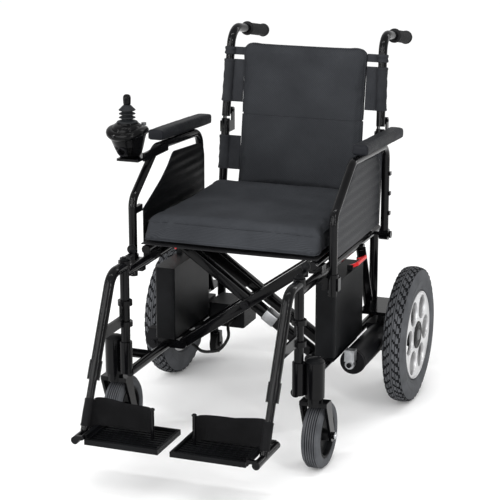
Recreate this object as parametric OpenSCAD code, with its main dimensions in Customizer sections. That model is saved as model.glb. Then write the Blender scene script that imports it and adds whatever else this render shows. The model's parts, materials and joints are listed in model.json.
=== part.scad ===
// Folding power wheelchair with a cross-braced tube frame, millimetres.
// +X is the user's left, -Y is the front, +Z is up. The floor is z = 0.

/* [Seat] */
// Width of the seat cushion
seat_w = 456; // [400:1:550]
// Depth of the seat cushion
seat_d = 474; // [400:1:570]
// Thickness of the seat cushion
cushion_t = 54; // [40:1:70]
// Front edge of the cushion, measured from the origin
seat_front_y = -208; // [-240:1:-190]
// Thickness of the sling under the cushion
sling_t = 4; // [3:0.5:6]

/* [Frame] */
// Radius of the frame tubes
tube_r = 11; // [10:0.5:12.5]
// Height of the upper side rails
rail_z = 425; // [400:1:445]
// Height of the lower side rails
low_z = 188; // [184:1:194]
// Front posts, measured from the origin
front_y = -310; // [-330:1:-300]
// Rear posts, measured from the origin
rear_y = 289; // [285:1:300]
// Backward lean of the back canes in degrees
cane_rake = 8.1; // [4:0.1:10]
// Height of the back hinges
back_hinge_z = 690; // [670:1:705]
// Height at which the push handles bend back
cane_top_z = 905; // [880:1:950]
// Side of the square cross-brace tubes
brace_w = 25; // [20:1:26]
// Spacing of the front and rear cross-brace arms
brace_pitch = 107; // [90:1:115]
// Radius of the pivot rods and of the brace bolt
pivot_r = 5; // [4:0.5:6]

/* [Drive] */
// Outer diameter of the drive wheels
wheel_d = 342; // [320:1:360]
// Width of the drive tyres
tyre_w = 56; // [45:1:60]
// Diameter of the drive rim at the tyre seat
rim_d = 224; // [200:1:230]
// Distance from the middle of the chair to each drive wheel
wheel_x = 315; // [313:1:340]
// Axle of the drive wheels, measured from the origin
wheel_y = 243; // [235:1:250]
// Radius of the drive motors
motor_r = 30; // [26:1:31]
// Width of each battery box
bat_w = 50; // [40:1:50]
// Length of each battery box
bat_l = 230; // [180:1:235]
// Height of each battery box
bat_h = 178; // [150:1:185]

/* [Casters] */
// Outer diameter of the caster tyres
caster_d = 156; // [140:1:158]
// Width of the caster tyres
caster_w = 45; // [35:1:46]
// Distance of the caster axle behind its stem
caster_trail = 38; // [30:1:45]
// Radius of the caster stems
stem_r = 8; // [7:0.5:10]

/* [Footrests] */
// Height of the footplates above the floor
plate_z = 113; // [100:1:130]
// Depth of each footplate, front to back
plate_d = 130; // [100:1:150]
// Thickness of the footplates
plate_t = 12; // [8:1:14]
// Half of the gap between the two footplates
plate_gap = 14; // [13:1:25]
// Radius of the hanger tubes
hanger_r = 12; // [11.5:0.5:13]
// Radius of the footrest tubes that slide in the hangers
slide_r = 9; // [7:0.5:9]

/* [Arms] */
// Length of the arm pads
pad_l = 332; // [250:1:340]
// Width of the arm pads
pad_w = 42; // [36:1:60]
// Thickness of the arm pads
pad_t = 28; // [20:1:40]
// Radius of the armrest tubes
arm_r = 10; // [9:0.5:10.5]
// Height of the armrest tube at the front of its pad
arm_z = 664; // [650:1:690]

/* [Hand control] */
// Width of the control pod
pod_w = 94; // [86:1:96]
// Length of the control pod
pod_l = 112; // [100:1:120]
// Height of the control pod
pod_h = 70; // [60:1:80]
// Radius of the charger socket's opening
socket_r = 8; // [6:0.5:9]

/* [Fits] */
// Gap of a running fit, on the radius
run_gap = 0.05; // [0.02:0.01:0.1]
// Gap between pieces that lie on each other
seat_gap = 0.3; // [0.2:0.05:0.5]

/* [Hidden] */
SIDES = ["left", "right"];
$fn = 48;

// Places across the chair
frame_x = seat_w / 2 - 17;
seat_rail_x = frame_x - 6;
low_x = frame_x - 8;
bat_x = frame_x - 8;
bat_in_x = bat_x - bat_w / 2;
pivot_x = bat_in_x - 15;
cane_x = frame_x - 4;
skirt_t = 4;
skirt_x = seat_w / 2 + 4.5;
arm_x = skirt_x + skirt_t + seat_gap + arm_r;
motor_x = bat_x + bat_w / 2 + 24;

// Heights
seat_rail_z = rail_z + 29;
pivot_z = low_z + 4;
sling_z = seat_rail_z + tube_r + seat_gap;
cushion_z = sling_z + sling_t + seat_gap;
bat_z = low_z + tube_r + 6;
wheel_z = wheel_d / 2;
motor_z = wheel_z + 7;
caster_z = caster_d / 2;

// Pin of the battery's carrying handle
handle_x = bat_x + bat_w / 2 - 7;
handle_z = bat_z + bat_h + 7;
handle_ys = [42, 112];

// The cross brace: each arm runs from a lower pivot to the seat rail of the other side
brace_rise = seat_rail_z - pivot_z;
brace_span = seat_rail_x + pivot_x;
brace_angle = atan(brace_rise / brace_span);
brace_mid_z = pivot_z + brace_rise * pivot_x / brace_span;
brace_low_len = pivot_x / cos(brace_angle);
brace_up_len = seat_rail_x / cos(brace_angle);
brace_front_y = -60;
brace_step = brace_w + 1;
brace_a_ys = [brace_front_y - brace_step / 2, brace_front_y + brace_pitch + brace_step / 2];
brace_b_ys = [brace_front_y + brace_step / 2, brace_front_y + brace_pitch - brace_step / 2];
pivot_plate_t = 5;
pivot_plate_ys = [brace_a_ys[0] - brace_w / 2 - pivot_plate_t - 1,
    (brace_b_ys[0] + brace_b_ys[1] - pivot_plate_t) / 2, brace_a_ys[1] + brace_w / 2 + 1];

// Front post, caster housing and stem
caster_x = frame_x + 34;
caster_y = front_y + 12;
housing_r = 22.5;
housing_z = [180, 264];
post_top_z = rail_z + tube_r + 1;

// Back canes: a line through the rear post's top
function cane_y(z) = rear_y + (z - rail_z) * tan(cane_rake);
hinge_y = cane_y(back_hinge_z) + 19;
lower_cane_top_z = back_hinge_z - 18;
upper_cane_low_z = back_hinge_z - 12;

// Armrest
arm_pivot_y = 240;
arm_pivot_z = rail_z;
arm_front_y = -180;
skirt_end_y = arm_pivot_y - 2;
pad_front_y = -24;
pad_slope = 2.9;
pad_z = arm_z + arm_r + seat_gap;

// Hanger: a tube that leaves the post's top, bends down and slopes to the footplate
hanger_z = rail_z + 18;
hanger_bend = [frame_x, front_y - 72, hanger_z];
hanger_low = [frame_x, front_y - 177, 227];
hanger_dir = (hanger_low - hanger_bend) / norm(hanger_low - hanger_bend);
slide_in = 110;
foot_z = plate_z + 7;
foot_end = hanger_low + hanger_dir * (hanger_low[2] - foot_z) / -hanger_dir[2];
foot_r = 9;
plate_hinge_x = frame_x - 17;
plate_hinge_z = plate_z + plate_t + 2;
plate_mid_y = foot_end[1] + 17.4;
strap_h = 58;
strap_t = 2.5;

// Hand control, on the right armrest only
pod_x = -(seat_w / 2 + 37);
pod_y = arm_front_y + 20;
pod_z = arm_z - 2;
hand_rest_z = 58;
hand_rest_h = 16;
hand_rest_top = hand_rest_z + hand_rest_h;
pod_top_z = pod_z + pod_h + 13;
stick_z = pod_top_z - 27;

black = "#17181a";
soft_black = "#242528";
grey = "#55585c";
silver = "#b9bcc0";

// Joining beads of the bent tubes
bead = 0.1;
bead_step = 0.5;

function unit(v) = v / norm(v);

// Turns z to the direction of d and moves the origin to p
module along(p, d) {
    w = unit(d);
    u = abs(w[2]) > 0.999 ? [1, 0, 0] : unit(cross([0, 0, 1], w));
    v = cross(w, u);
    multmatrix([
        [u[0], v[0], w[0], p[0]],
        [u[1], v[1], w[1], p[1]],
        [u[2], v[2], w[2], p[2]],
        [0, 0, 0, 1]]) children();
}

module rod(a, b, r) {
    along(a, b - a) cylinder(r = r, h = norm(b - a));
}

// A round tube through pts, with each corner turned at radius bend. A bead a hair
// wider than the tube joins each bend to the straight run beside it.
module pipe(pts, r, bend) {
    n = len(pts);
    dirs = [for (i = [0:n - 2]) unit(pts[i + 1] - pts[i])];
    turns = [for (i = [0:n - 1]) i == 0 || i == n - 1 ? 0 : acos(dirs[i - 1] * dirs[i])];
    cuts = [for (t = turns) t == 0 ? 0 : bend * tan(t / 2) + bead_step];
    for (i = [0:n - 2]) {
        rod(pts[i] + dirs[i] * cuts[i], pts[i + 1] - dirs[i] * cuts[i + 1], r);
    }
    for (i = [1:1:n - 2]) {
        start = pts[i] - dirs[i - 1] * (cuts[i] - bead_step);
        translate(start) sphere(r = r + bead);
        translate(pts[i] + dirs[i] * (cuts[i] - bead_step)) sphere(r = r + bead);
        axis = unit(cross(dirs[i - 1], dirs[i]));
        out = cross(dirs[i - 1], axis);
        centre = start - out * bend;
        multmatrix([
            [out[0], dirs[i - 1][0], axis[0], centre[0]],
            [out[1], dirs[i - 1][1], axis[1], centre[1]],
            [out[2], dirs[i - 1][2], axis[2], centre[2]],
            [0, 0, 0, 1]])
            rotate_extrude(angle = turns[i]) translate([bend, 0]) circle(r = r);
    }
}

// A box from lo to hi
module block(lo, hi) {
    translate(lo) cube(hi - lo);
}

// An upright prism over a rectangle with round corners
module round_prism(w, l, h, r) {
    linear_extrude(h) {
        square([w - 2 * r, l], center = true);
        square([w, l - 2 * r], center = true);
        for (i = [-1, 1], j = [-1, 1]) {
            translate([i * (w / 2 - r), j * (l / 2 - r)]) circle(r = r);
        }
    }
}

// Draws for the left side, or its mirror image for the right
module on(side) {
    if (side == "left") {
        children();
    } else {
        mirror([1, 0, 0]) children();
    }
}

// ---- side frame ----

module post_and_housing() {
    rod([frame_x, front_y, housing_z[0] + 6], [frame_x, front_y, post_top_z], tube_r);
    rod([frame_x, front_y, housing_z[0] + 6], [frame_x, front_y, housing_z[1] - 2], tube_r + 4);
    rod([caster_x, caster_y, housing_z[0]], [caster_x, caster_y, housing_z[1]], housing_r);
    pipe([[caster_x, caster_y, 214], [caster_x - 6, caster_y + 60, 210],
        [low_x, front_y + 130, low_z]], tube_r, 30);
}

module rails_and_cane() {
    top_y = cane_y(lower_cane_top_z);
    rod([frame_x, front_y, rail_z], [frame_x, rear_y + 4, rail_z], tube_r);
    rod([low_x, front_y, low_z], [low_x, rear_y + 4, low_z], tube_r);
    pipe([[cane_x, rear_y, low_z - tube_r - 3], [cane_x, rear_y, rail_z],
        [cane_x, top_y, lower_cane_top_z]], tube_r, 40);
}

// Two cheeks on the lower cane that carry the back's hinge pin
module back_hinge_cheeks() {
    top_y = cane_y(lower_cane_top_z);
    for (x = [cane_x - 13, cane_x + 9]) {
        rod([x, hinge_y, back_hinge_z], [x + 4, hinge_y, back_hinge_z], 9);
        block([x, hinge_y - 9, lower_cane_top_z - 34], [x + 4, hinge_y + 9, back_hinge_z]);
        block([x, top_y - 8, lower_cane_top_z - 34], [x + 4, hinge_y, lower_cane_top_z - 6]);
    }
    rod([cane_x - 15, hinge_y, back_hinge_z], [cane_x + 15, hinge_y, back_hinge_z], 4);
}

// Plates that hang from the lower rail and hold the brace's pivot rod
module brace_mount() {
    for (y = pivot_plate_ys) {
        block([pivot_x, y, pivot_z - 12], [low_x, y + pivot_plate_t, pivot_z + 8]);
        rod([pivot_x, y, pivot_z], [pivot_x, y + pivot_plate_t, pivot_z], 12);
    }
    rod([pivot_x, pivot_plate_ys[0] - 3, pivot_z],
        [pivot_x, pivot_plate_ys[2] + pivot_plate_t + 3, pivot_z], pivot_r);
}

// Saddles that hold up the seat rails while the chair is open
module saddles() {
    for (y = [-165, 205]) {
        difference() {
            block([seat_rail_x - 16, y - 15, rail_z + 5], [seat_rail_x + 16, y + 15, seat_rail_z - 4]);
            rod([seat_rail_x, y - 16, seat_rail_z], [seat_rail_x, y + 16, seat_rail_z],
                tube_r + seat_gap);
        }
    }
}

// The cradle for the armrest's front post: open to the front and to the top
module arm_cradle() {
    in = arm_r + seat_gap;
    difference() {
        block([frame_x, arm_front_y - 4, rail_z - 30], [arm_x + in + 4, arm_front_y + in + 5, rail_z]);
        block([arm_x - in, arm_front_y - 5, rail_z - 31], [arm_x + in, arm_front_y, rail_z + 1]);
        rod([arm_x, arm_front_y, rail_z - 31], [arm_x, arm_front_y, rail_z + 1], in);
        block([0, arm_front_y - 5, rail_z - 31], [frame_x + tube_r, arm_front_y + 30, rail_z - 14]);
    }
}

module motor_bracket() {
    top = motor_z + motor_r + 32;
    pipe([[frame_x, 140, rail_z], [frame_x, 226, top]], tube_r - 2, 10);
    block([cane_x, 165, top - 4], [motor_x + motor_r, rear_y + 4, top + 4]);
    // Flat folding link beside the strut, with its bolts
    x = frame_x + tube_r - 3;
    rod([x, 128, rail_z - 8], [x + 9, 128, rail_z - 8], 9);
    rod([x, 200, top + 22], [x + 9, 200, top + 22], 9);
    along([x + 6, 128, rail_z - 8], [0, 72, top + 30 - rail_z])
        translate([-7, -2, 0]) cube([14, 4, norm([72, rail_z - top - 30])]);
}

module side_frame(side) {
    color(black) on(side) {
        difference() {
            union() {
                post_and_housing();
                rails_and_cane();
            }
            rod([caster_x, caster_y, housing_z[0] - 1], [caster_x, caster_y, housing_z[1] - 5],
                stem_r + run_gap);
        }
        back_hinge_cheeks();
        brace_mount();
        saddles();
        arm_cradle();
        rod([frame_x, arm_pivot_y, arm_pivot_z], [arm_x + arm_r + 8, arm_pivot_y, arm_pivot_z], pivot_r);
        rod([arm_x + arm_r + 3, arm_pivot_y, arm_pivot_z],
            [arm_x + arm_r + 8, arm_pivot_y, arm_pivot_z], 9);
        motor_bracket();
        // Tray under the battery
        block([low_x - tube_r, -95, low_z + 6], [bat_x + bat_w / 2 - 4, 95, bat_z - seat_gap]);
    }
}

// ---- power ----

module battery_box(side) {
    color(soft_black) on(side) {
        translate([bat_x, 15, bat_z]) round_prism(bat_w, bat_l, bat_h, 7);
        // Ears that carry the handle's pin
        for (y = [handle_ys[0] - 6, handle_ys[1] + 1]) {
            block([handle_x - 7, y, bat_z + bat_h], [handle_x + 7, y + 5, handle_z + 5]);
        }
        rod([handle_x, handle_ys[0] - 6, handle_z], [handle_x, handle_ys[1] + 6, handle_z], 2.5);
    }
}

module battery_handle(side) {
    color("#d3161c") on(side) difference() {
        union() {
            for (y = [handle_ys[0], handle_ys[1] - 6]) {
                rod([handle_x, y, handle_z], [handle_x, y + 6, handle_z], 5);
                along([handle_x, y + 3, handle_z], [16, 0, 8])
                    translate([-3, -4, 0]) cube([6, 8, 17]);
            }
            rod([handle_x + 16, handle_ys[0], handle_z + 8],
                [handle_x + 16, handle_ys[1], handle_z + 8], 4.5);
        }
        rod([handle_x, handle_ys[0] - 7, handle_z], [handle_x, handle_ys[1] + 7, handle_z],
            2.5 + run_gap);
    }
}

module drive_motor(side) {
    box_y = wheel_y;
    color(black) on(side) difference() {
        union() {
            rod([motor_x, -35, motor_z], [motor_x, box_y - 30, motor_z], motor_r);
            rod([motor_x, -28, motor_z], [motor_x, -22, motor_z], motor_r + 1);
            block([motor_x - motor_r, box_y - 58, wheel_z - 32],
                [motor_x + motor_r, box_y + 42, motor_z + motor_r]);
            rod([motor_x - motor_r, box_y, wheel_z], [wheel_x - tyre_w / 2 - 4, box_y, wheel_z], 26);
            // Bosses under the bracket plate
            for (y = [box_y - 40, box_y + 24]) {
                rod([motor_x, y, motor_z + motor_r - 5], [motor_x, y, motor_z + motor_r + 28 - seat_gap], 9);
            }
            // Stub that the release lever turns on
            rod([motor_x, -64, motor_z], [motor_x, -30, motor_z], 6);
        }
        rod([motor_x - 5, box_y, wheel_z], [wheel_x, box_y, wheel_z], stem_r + run_gap);
        // Socket for the anti-tip bar
        along([motor_x, box_y + 43, wheel_z - 20], [0, -1, 0]) cylinder(r = 8 + seat_gap, h = 31);
    }
}

module motor_release(side) {
    color(silver) on(side) difference() {
        union() {
            rod([motor_x, -58, motor_z], [motor_x, -40, motor_z], 11);
            block([motor_x - 12, -60, motor_z + 8], [motor_x + 12, -38, motor_z + 36]);
            block([motor_x - 6, -60, motor_z], [motor_x + 6, -38, motor_z + 12]);
        }
        rod([motor_x, -66, motor_z], [motor_x, -30, motor_z], 6 + run_gap);
    }
}

// ---- drive wheels ----

module drive_rim(side) {
    rim_r = rim_d / 2;
    out_x = wheel_x + tyre_w / 2;
    color(silver) on(side) difference() {
        union() {
            // Barrel that carries the tyre
            difference() {
                rod([out_x - 46, wheel_y, wheel_z], [out_x - 5, wheel_y, wheel_z], rim_r);
                rod([out_x - 47, wheel_y, wheel_z], [out_x - 12, wheel_y, wheel_z], rim_r - 8);
            }
            rod([out_x - 50, wheel_y, wheel_z], [out_x, wheel_y, wheel_z], 26);
            rod([motor_x - 4, wheel_y, wheel_z], [out_x, wheel_y, wheel_z], stem_r);
        }
        for (k = [0:5]) {
            a = 60 * k;
            hole = [wheel_y + 70 * cos(a), wheel_z + 70 * sin(a)];
            rod([out_x - 20, hole[0], hole[1]], [out_x + 1, hole[0], hole[1]], 24);
        }
    }
}

module drive_tyre(side) {
    r = wheel_d / 2;
    in_r = rim_d / 2 + run_gap;
    h = tyre_w / 2;
    color(grey) on(side)
        translate([wheel_x, wheel_y, wheel_z]) rotate([0, 90, 0]) rotate_extrude($fn = 96)
            polygon([[in_r, -h + 8], [in_r + 14, -h], [r - 14, -h], [r - 3, -h + 11], [r, -6],
                [r, 6], [r - 3, h - 11], [r - 14, h], [in_r + 14, h], [in_r, h - 8]]);
}

// ---- casters ----

module caster_fork(side) {
    top_z = housing_z[0] - 2;
    crown_z = caster_d + 4;
    axle_y = caster_y + caster_trail;
    leg_x = caster_w / 2 + 4;
    color(black) on(side) {
        rod([caster_x, caster_y, crown_z], [caster_x, caster_y, housing_z[1] - 8], stem_r);
        rod([caster_x, caster_y, crown_z], [caster_x, caster_y, top_z], 18);
        block([caster_x - leg_x - 6, caster_y - 12, crown_z],
            [caster_x + leg_x + 6, caster_y + 20, crown_z + 10]);
        for (x = [caster_x - leg_x - 6, caster_x + leg_x]) {
            rod([x, axle_y, caster_z], [x + 6, axle_y, caster_z], 14);
            hull() {
                rod([x, axle_y, caster_z], [x + 6, axle_y, caster_z], 12);
                block([x, caster_y - 12, crown_z + 2], [x + 6, caster_y + 20, crown_z + 10]);
            }
        }
        rod([caster_x - leg_x - 10, axle_y, caster_z], [caster_x + leg_x + 10, axle_y, caster_z], 4);
        for (x = [caster_x - leg_x - 11, caster_x + leg_x + 6]) {
            rod([x, axle_y, caster_z], [x + 5, axle_y, caster_z], 8);
        }
    }
}

module caster_hub(side) {
    axle_y = caster_y + caster_trail;
    r = caster_d / 2 - 24;
    h = caster_w / 2 + 3;
    color(black) on(side) translate([caster_x, axle_y, caster_z]) rotate([0, 90, 0]) difference() {
        union() {
            cylinder(r = 12, h = 2 * h, center = true);
            cylinder(r = r, h = 12, center = true);
            difference() {
                cylinder(r = r, h = caster_w - 6, center = true);
                cylinder(r = r - 7, h = caster_w, center = true);
            }
        }
        cylinder(r = 4 + run_gap, h = 3 * h, center = true);
    }
}

module caster_tyre(side) {
    axle_y = caster_y + caster_trail;
    r = caster_d / 2;
    in_r = r - 24 + run_gap;
    h = caster_w / 2;
    ribs = 6;
    pitch = (caster_w - 14) / ribs;
    color(grey) on(side) translate([caster_x, axle_y, caster_z]) rotate([0, 90, 0])
        rotate_extrude($fn = 96) difference() {
            polygon([[in_r, -h + 3], [r - 12, -h], [r - 4, -h + 5], [r, -h + 12], [r, h - 12],
                [r - 4, h - 5], [r - 12, h], [in_r, h - 3]]);
            for (k = [1:ribs - 1]) {
                translate([r - 2.5, -h + 7 + k * pitch - 1]) square([4, 2]);
            }
        }
}

// ---- footrests ----

module hanger(side) {
    color(black) on(side) difference() {
        union() {
            pipe([[frame_x, front_y, hanger_z], hanger_bend, hanger_low], hanger_r, 42);
            // Cap over the post, with the stub that the latch turns on
            rod([frame_x, front_y, post_top_z + 0.5], [frame_x, front_y, hanger_z + hanger_r + 1], 14);
            rod([frame_x, front_y, hanger_z], [frame_x, front_y, hanger_z + hanger_r + 10], 5);
            // Collars that turn on the post
            for (z = [300, 350]) {
                rod([frame_x, front_y, z], [frame_x, front_y, z + 12], 17);
            }
            // Bracket arm from the collars to the sloping tube
            block([frame_x - 3, front_y - 118, 304], [frame_x + 3, front_y, 330]);
            block([frame_x - 3, front_y - 26, 304], [frame_x + 3, front_y - 14, 360]);
            // Wide sleeve at the lower end
            rod(hanger_low - hanger_dir * 44, hanger_low, hanger_r + 2.5);
        }
        rod([frame_x, front_y, 290], [frame_x, front_y, 370], tube_r + 2 * run_gap);
        rod([frame_x, front_y, rail_z], [frame_x, front_y, post_top_z + 0.5], tube_r + 1.5);
        rod(hanger_low - hanger_dir * (slide_in + 30), hanger_low + hanger_dir, slide_r + run_gap);
    }
}

module hanger_latch(side) {
    z = hanger_z + hanger_r + 1 + seat_gap;
    color(soft_black) on(side) difference() {
        union() {
            rod([frame_x, front_y, z], [frame_x, front_y, z + 6], 10);
            block([frame_x - 5, front_y, z], [frame_x + 5, front_y + 43, z + 6]);
            rod([frame_x, front_y + 43, z - 8], [frame_x, front_y + 43, z + 12], 6);
            translate([frame_x, front_y + 43, z + 15]) sphere(r = 11);
        }
        rod([frame_x, front_y, z - 1], [frame_x, front_y, z + 8], 5 + run_gap);
    }
}

module footrest_tube(side) {
    front = plate_mid_y - plate_d / 2;
    back = plate_mid_y + plate_d / 2;
    color(black) on(side) {
        rod(hanger_low - hanger_dir * slide_in, foot_end, slide_r);
        rod([foot_end[0], front, foot_z], [foot_end[0], back, foot_z], foot_r);
        // Knuckles that hold the footplate's hinge rod
        for (y = [front, back - 8]) {
            block([plate_hinge_x, y, plate_hinge_z - 4], [foot_end[0], y + 8, plate_hinge_z + 4]);
            rod([plate_hinge_x, y, plate_hinge_z], [plate_hinge_x, y + 8, plate_hinge_z], 5);
        }
        rod([plate_hinge_x, front, plate_hinge_z], [plate_hinge_x, back, plate_hinge_z], 3);
    }
}

module footplate(side) {
    front = plate_mid_y - plate_d / 2;
    back = plate_mid_y + plate_d / 2;
    base = plate_z + 4;
    knuckle = [front + 9, back - 9];
    color(soft_black) on(side) difference() {
        union() {
            block([plate_gap, front, plate_z], [plate_hinge_x - 6, back, base]);
            // Rim and tread ribs
            block([plate_gap, front, plate_z], [plate_gap + 6, back, plate_z + plate_t]);
            for (y = [front, back - 5]) {
                block([plate_gap, y, plate_z], [plate_hinge_x - 6, y + 5, plate_z + plate_t]);
            }
            for (y = [front + 14:12:back - 14]) {
                block([plate_gap + 10, y, plate_z], [plate_hinge_x - 14, y + 5, base + 4]);
            }
            block([plate_hinge_x - 14, knuckle[0], plate_z],
                [plate_hinge_x - 5, knuckle[1], plate_z + plate_t]);
            block([plate_hinge_x - 8, knuckle[0], plate_hinge_z - 6],
                [plate_hinge_x, knuckle[1], plate_hinge_z + 5]);
            rod([plate_hinge_x, knuckle[0], plate_hinge_z], [plate_hinge_x, knuckle[1], plate_hinge_z], 5.5);
        }
        rod([plate_hinge_x, front - 1, plate_hinge_z], [plate_hinge_x, back + 1, plate_hinge_z],
            3 + run_gap);
    }
}

// A band from the inner end of the footplate, round behind the heel, to the footrest tube
module heel_strap(side) {
    mid = [(plate_gap + foot_end[0]) / 2 + 14, foot_end[1] + 8];
    half = [foot_end[0] - slide_r - seat_gap - mid[0], plate_d / 2 + 8];
    steps = 16;
    outer = [for (i = [0:steps]) let (a = 180 * i / steps)
        mid + [half[0] * cos(a), half[1] * sin(a)]];
    inner = [for (i = [steps:-1:0]) let (a = 180 * i / steps)
        mid + [(half[0] - strap_t) * cos(a), (half[1] - strap_t) * sin(a)]];
    color(soft_black) on(side) translate([0, 0, plate_hinge_z + 6])
        linear_extrude(strap_h) polygon(concat(outer, inner));
}

// ---- armrests ----

module arm_frame(side) {
    rear_z = arm_z - (arm_pivot_y - pad_front_y) * tan(pad_slope);
    eye = arm_r + 1;
    color(black) on(side) difference() {
        union() {
            pipe([[arm_x, arm_front_y, rail_z - 43], [arm_x, arm_front_y, arm_z - 99],
                [arm_x, pad_front_y - 16, arm_z], [arm_x, arm_pivot_y, rear_z],
                [arm_x, arm_pivot_y, arm_pivot_z]], arm_r, 38);
            rod([arm_x - eye, arm_pivot_y, arm_pivot_z], [arm_x + eye, arm_pivot_y, arm_pivot_z], 14);
            // Collar that rests on the cradle
            rod([arm_x, arm_front_y, rail_z + seat_gap], [arm_x, arm_front_y, rail_z + 9], arm_r + 3);
            // Clips that carry the skirt panel
            block([skirt_x + skirt_t + seat_gap, arm_front_y, rail_z + 108],
                [arm_x, arm_front_y + 36, rail_z + 124]);
            for (z = [rail_z + 50, rail_z + 100, rail_z + 150]) {
                block([arm_x, arm_pivot_y - 6, z], [arm_x + arm_r + 4, arm_pivot_y + 6, z + 9]);
            }
        }
        rod([0, arm_pivot_y, arm_pivot_z], [arm_x + 20, arm_pivot_y, arm_pivot_z],
            pivot_r + run_gap);
    }
}

module arm_pad(side) {
    c = 5;
    color(soft_black) on(side)
        translate([arm_x + 10, pad_front_y, pad_z]) rotate([-pad_slope, 0, 0])
            translate([0, pad_l, 0]) rotate([90, 0, 0]) linear_extrude(pad_l)
                polygon([[-pad_w / 2, 0], [pad_w / 2, 0], [pad_w / 2, pad_t - c],
                    [pad_w / 2 - c, pad_t], [c - pad_w / 2, pad_t], [-pad_w / 2, pad_t - c]]);
}

// Side panel that keeps clothes off the wheel, with ribs pressed along it
module skirt_panel(side) {
    low = rail_z + 26;
    color(grey) on(side) {
        translate([skirt_x, 0, 0]) rotate([90, 0, 90]) linear_extrude(skirt_t)
            polygon([[-150, low], [-150, low + 88], [-95, low + 112], [-39, low + 138],
                [0, low + 162], [32, low + 190], [skirt_end_y, low + 176], [skirt_end_y, low]]);
    }
}

// ---- back ----

module upper_cane(side) {
    low = [cane_x, cane_y(upper_cane_low_z), upper_cane_low_z];
    top = [cane_x - 6, cane_y(cane_top_z), cane_top_z];
    grip = grip_end();
    color(black) on(side) difference() {
        union() {
            pipe([low, top, grip], tube_r, 45);
            // Lug behind the cane that turns on the hinge pin
            block([cane_x - 8, low[1], back_hinge_z - 9], [cane_x + 8, hinge_y, back_hinge_z + 9]);
            rod([cane_x - 8, hinge_y, back_hinge_z], [cane_x + 8, hinge_y, back_hinge_z], 9);
        }
        rod([cane_x - 20, hinge_y, back_hinge_z], [cane_x + 20, hinge_y, back_hinge_z], 4 + run_gap);
    }
}

function grip_end() = [cane_x - 9, cane_y(cane_top_z) + 222.4, cane_top_z - 38];

module push_grip(side) {
    top = [cane_x - 6, cane_y(cane_top_z), cane_top_z];
    d = unit(grip_end() - top);
    start = grip_end() - d * 122;
    color(soft_black) on(side) difference() {
        union() {
            rod(start, start + d * 126, 15);
            rod(start, start + d * 5, 18);
            rod(start + d * 118, start + d * 126, 17);
        }
        rod(start - d, grip_end() + d * run_gap, tube_r + run_gap);
    }
}

// Fabric panel between z1 and z2 of the back, with sleeves round both canes
module back_panel(z1, z2, sleeves) {
    t = 24;
    half = cane_x - 36;
    tilt = -cane_rake;
    upper = z1 > back_hinge_z;
    difference() {
        union() {
            translate([0, cane_y(z1), z1]) rotate([tilt, 0, 0])
                block([-half, -t / 2, 0], [half, t / 2, (z2 - z1) / cos(cane_rake)]);
            for (s = [-1, 1], z = sleeves) {
                x = s * cane_mid_x(z[0], upper);
                x2 = s * cane_mid_x(z[1], upper);
                rod([x, cane_y(z[0]), z[0]], [x2, cane_y(z[1]), z[1]], tube_r + 2.5);
                translate([0, cane_y(z[0]), z[0]]) rotate([tilt, 0, 0])
                    block([min(s * (half - 5), x), -1.5, 0],
                        [max(s * (half - 5), x), 1.5, (z[1] - z[0]) / cos(cane_rake)]);
            }
        }
        for (s = [-1, 1]) {
            rod([s * cane_mid_x(z1 - 40, upper), cane_y(z1 - 40), z1 - 40],
                [s * cane_mid_x(z2 + 40, upper), cane_y(z2 + 40), z2 + 40], tube_r + seat_gap);
        }
    }
}

// Where the middle of a cane lies across the chair: the upper cane leans in
function cane_mid_x(z, upper) = cane_x
    - (upper ? 6 * (z - upper_cane_low_z) / (cane_top_z - upper_cane_low_z) : 0);

back_top_z = cane_top_z - 28;

module back_upper() {
    color(soft_black) back_panel(back_hinge_z + 6, back_top_z,
        [[back_hinge_z + 26, back_top_z - 53], [back_top_z - 42, back_top_z - 22]]);
}

module back_lower() {
    color(soft_black) back_panel(cushion_z + cushion_t - 30, back_hinge_z - 6,
        [[cushion_z + cushion_t + 20, back_hinge_z - 60]]);
}

// ---- cross brace and seat ----

// One pair of arms, turned so that the lower pivot is at the origin of local x
module brace_pair(ys, hand) {
    for (y = ys) {
        translate([0, y, brace_mid_z]) rotate([0, -hand * brace_angle, 0]) difference() {
            union() {
                block([hand > 0 ? -brace_low_len : -brace_up_len, -brace_w / 2, -brace_w / 2],
                    [hand > 0 ? brace_up_len : brace_low_len, brace_w / 2, brace_w / 2]);
                rod([-hand * brace_low_len, -brace_w / 2, 0], [-hand * brace_low_len, brace_w / 2, 0],
                    brace_w / 2);
            }
            rod([-hand * brace_low_len, -brace_w, 0], [-hand * brace_low_len, brace_w, 0],
                pivot_r + run_gap);
            rod([0, -brace_w, 0], [0, brace_w, 0], pivot_r + run_gap);
        }
    }
}

// hand is 1 when the lower pivot is on the right side, -1 when it is on the left
module brace(ys, hand) {
    rail_ends = [seat_front_y + 6, seat_front_y + seat_d - 12];
    difference() {
        brace_pair(ys, hand);
        rod([hand * seat_rail_x, -400, seat_rail_z], [hand * seat_rail_x, 400, seat_rail_z],
            tube_r - 1);
    }
    rod([hand * seat_rail_x, rail_ends[0], seat_rail_z],
        [hand * seat_rail_x, rail_ends[1], seat_rail_z], tube_r);
}

module brace_a() {
    color(black) brace(brace_a_ys, 1);
}

module brace_b() {
    color(black) brace(brace_b_ys, -1);
    // Flat plate between the front and rear arms, on their upper half
    color(black) translate([0, 0, brace_mid_z]) rotate([0, brace_angle, 0])
        block([-brace_up_len + 40, brace_b_ys[0], -2], [-34, brace_b_ys[1], 2]);
}

module brace_bolt() {
    ends = [brace_a_ys[0] - brace_w / 2, brace_a_ys[1] + brace_w / 2];
    color(grey) {
        rod([0, ends[0] - 8, brace_mid_z], [0, ends[1] + 8, brace_mid_z], pivot_r);
        for (y = [ends[0] - 6 - seat_gap, ends[1] + seat_gap]) {
            rod([0, y, brace_mid_z], [0, y + 6, brace_mid_z], 10);
        }
    }
}

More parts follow.
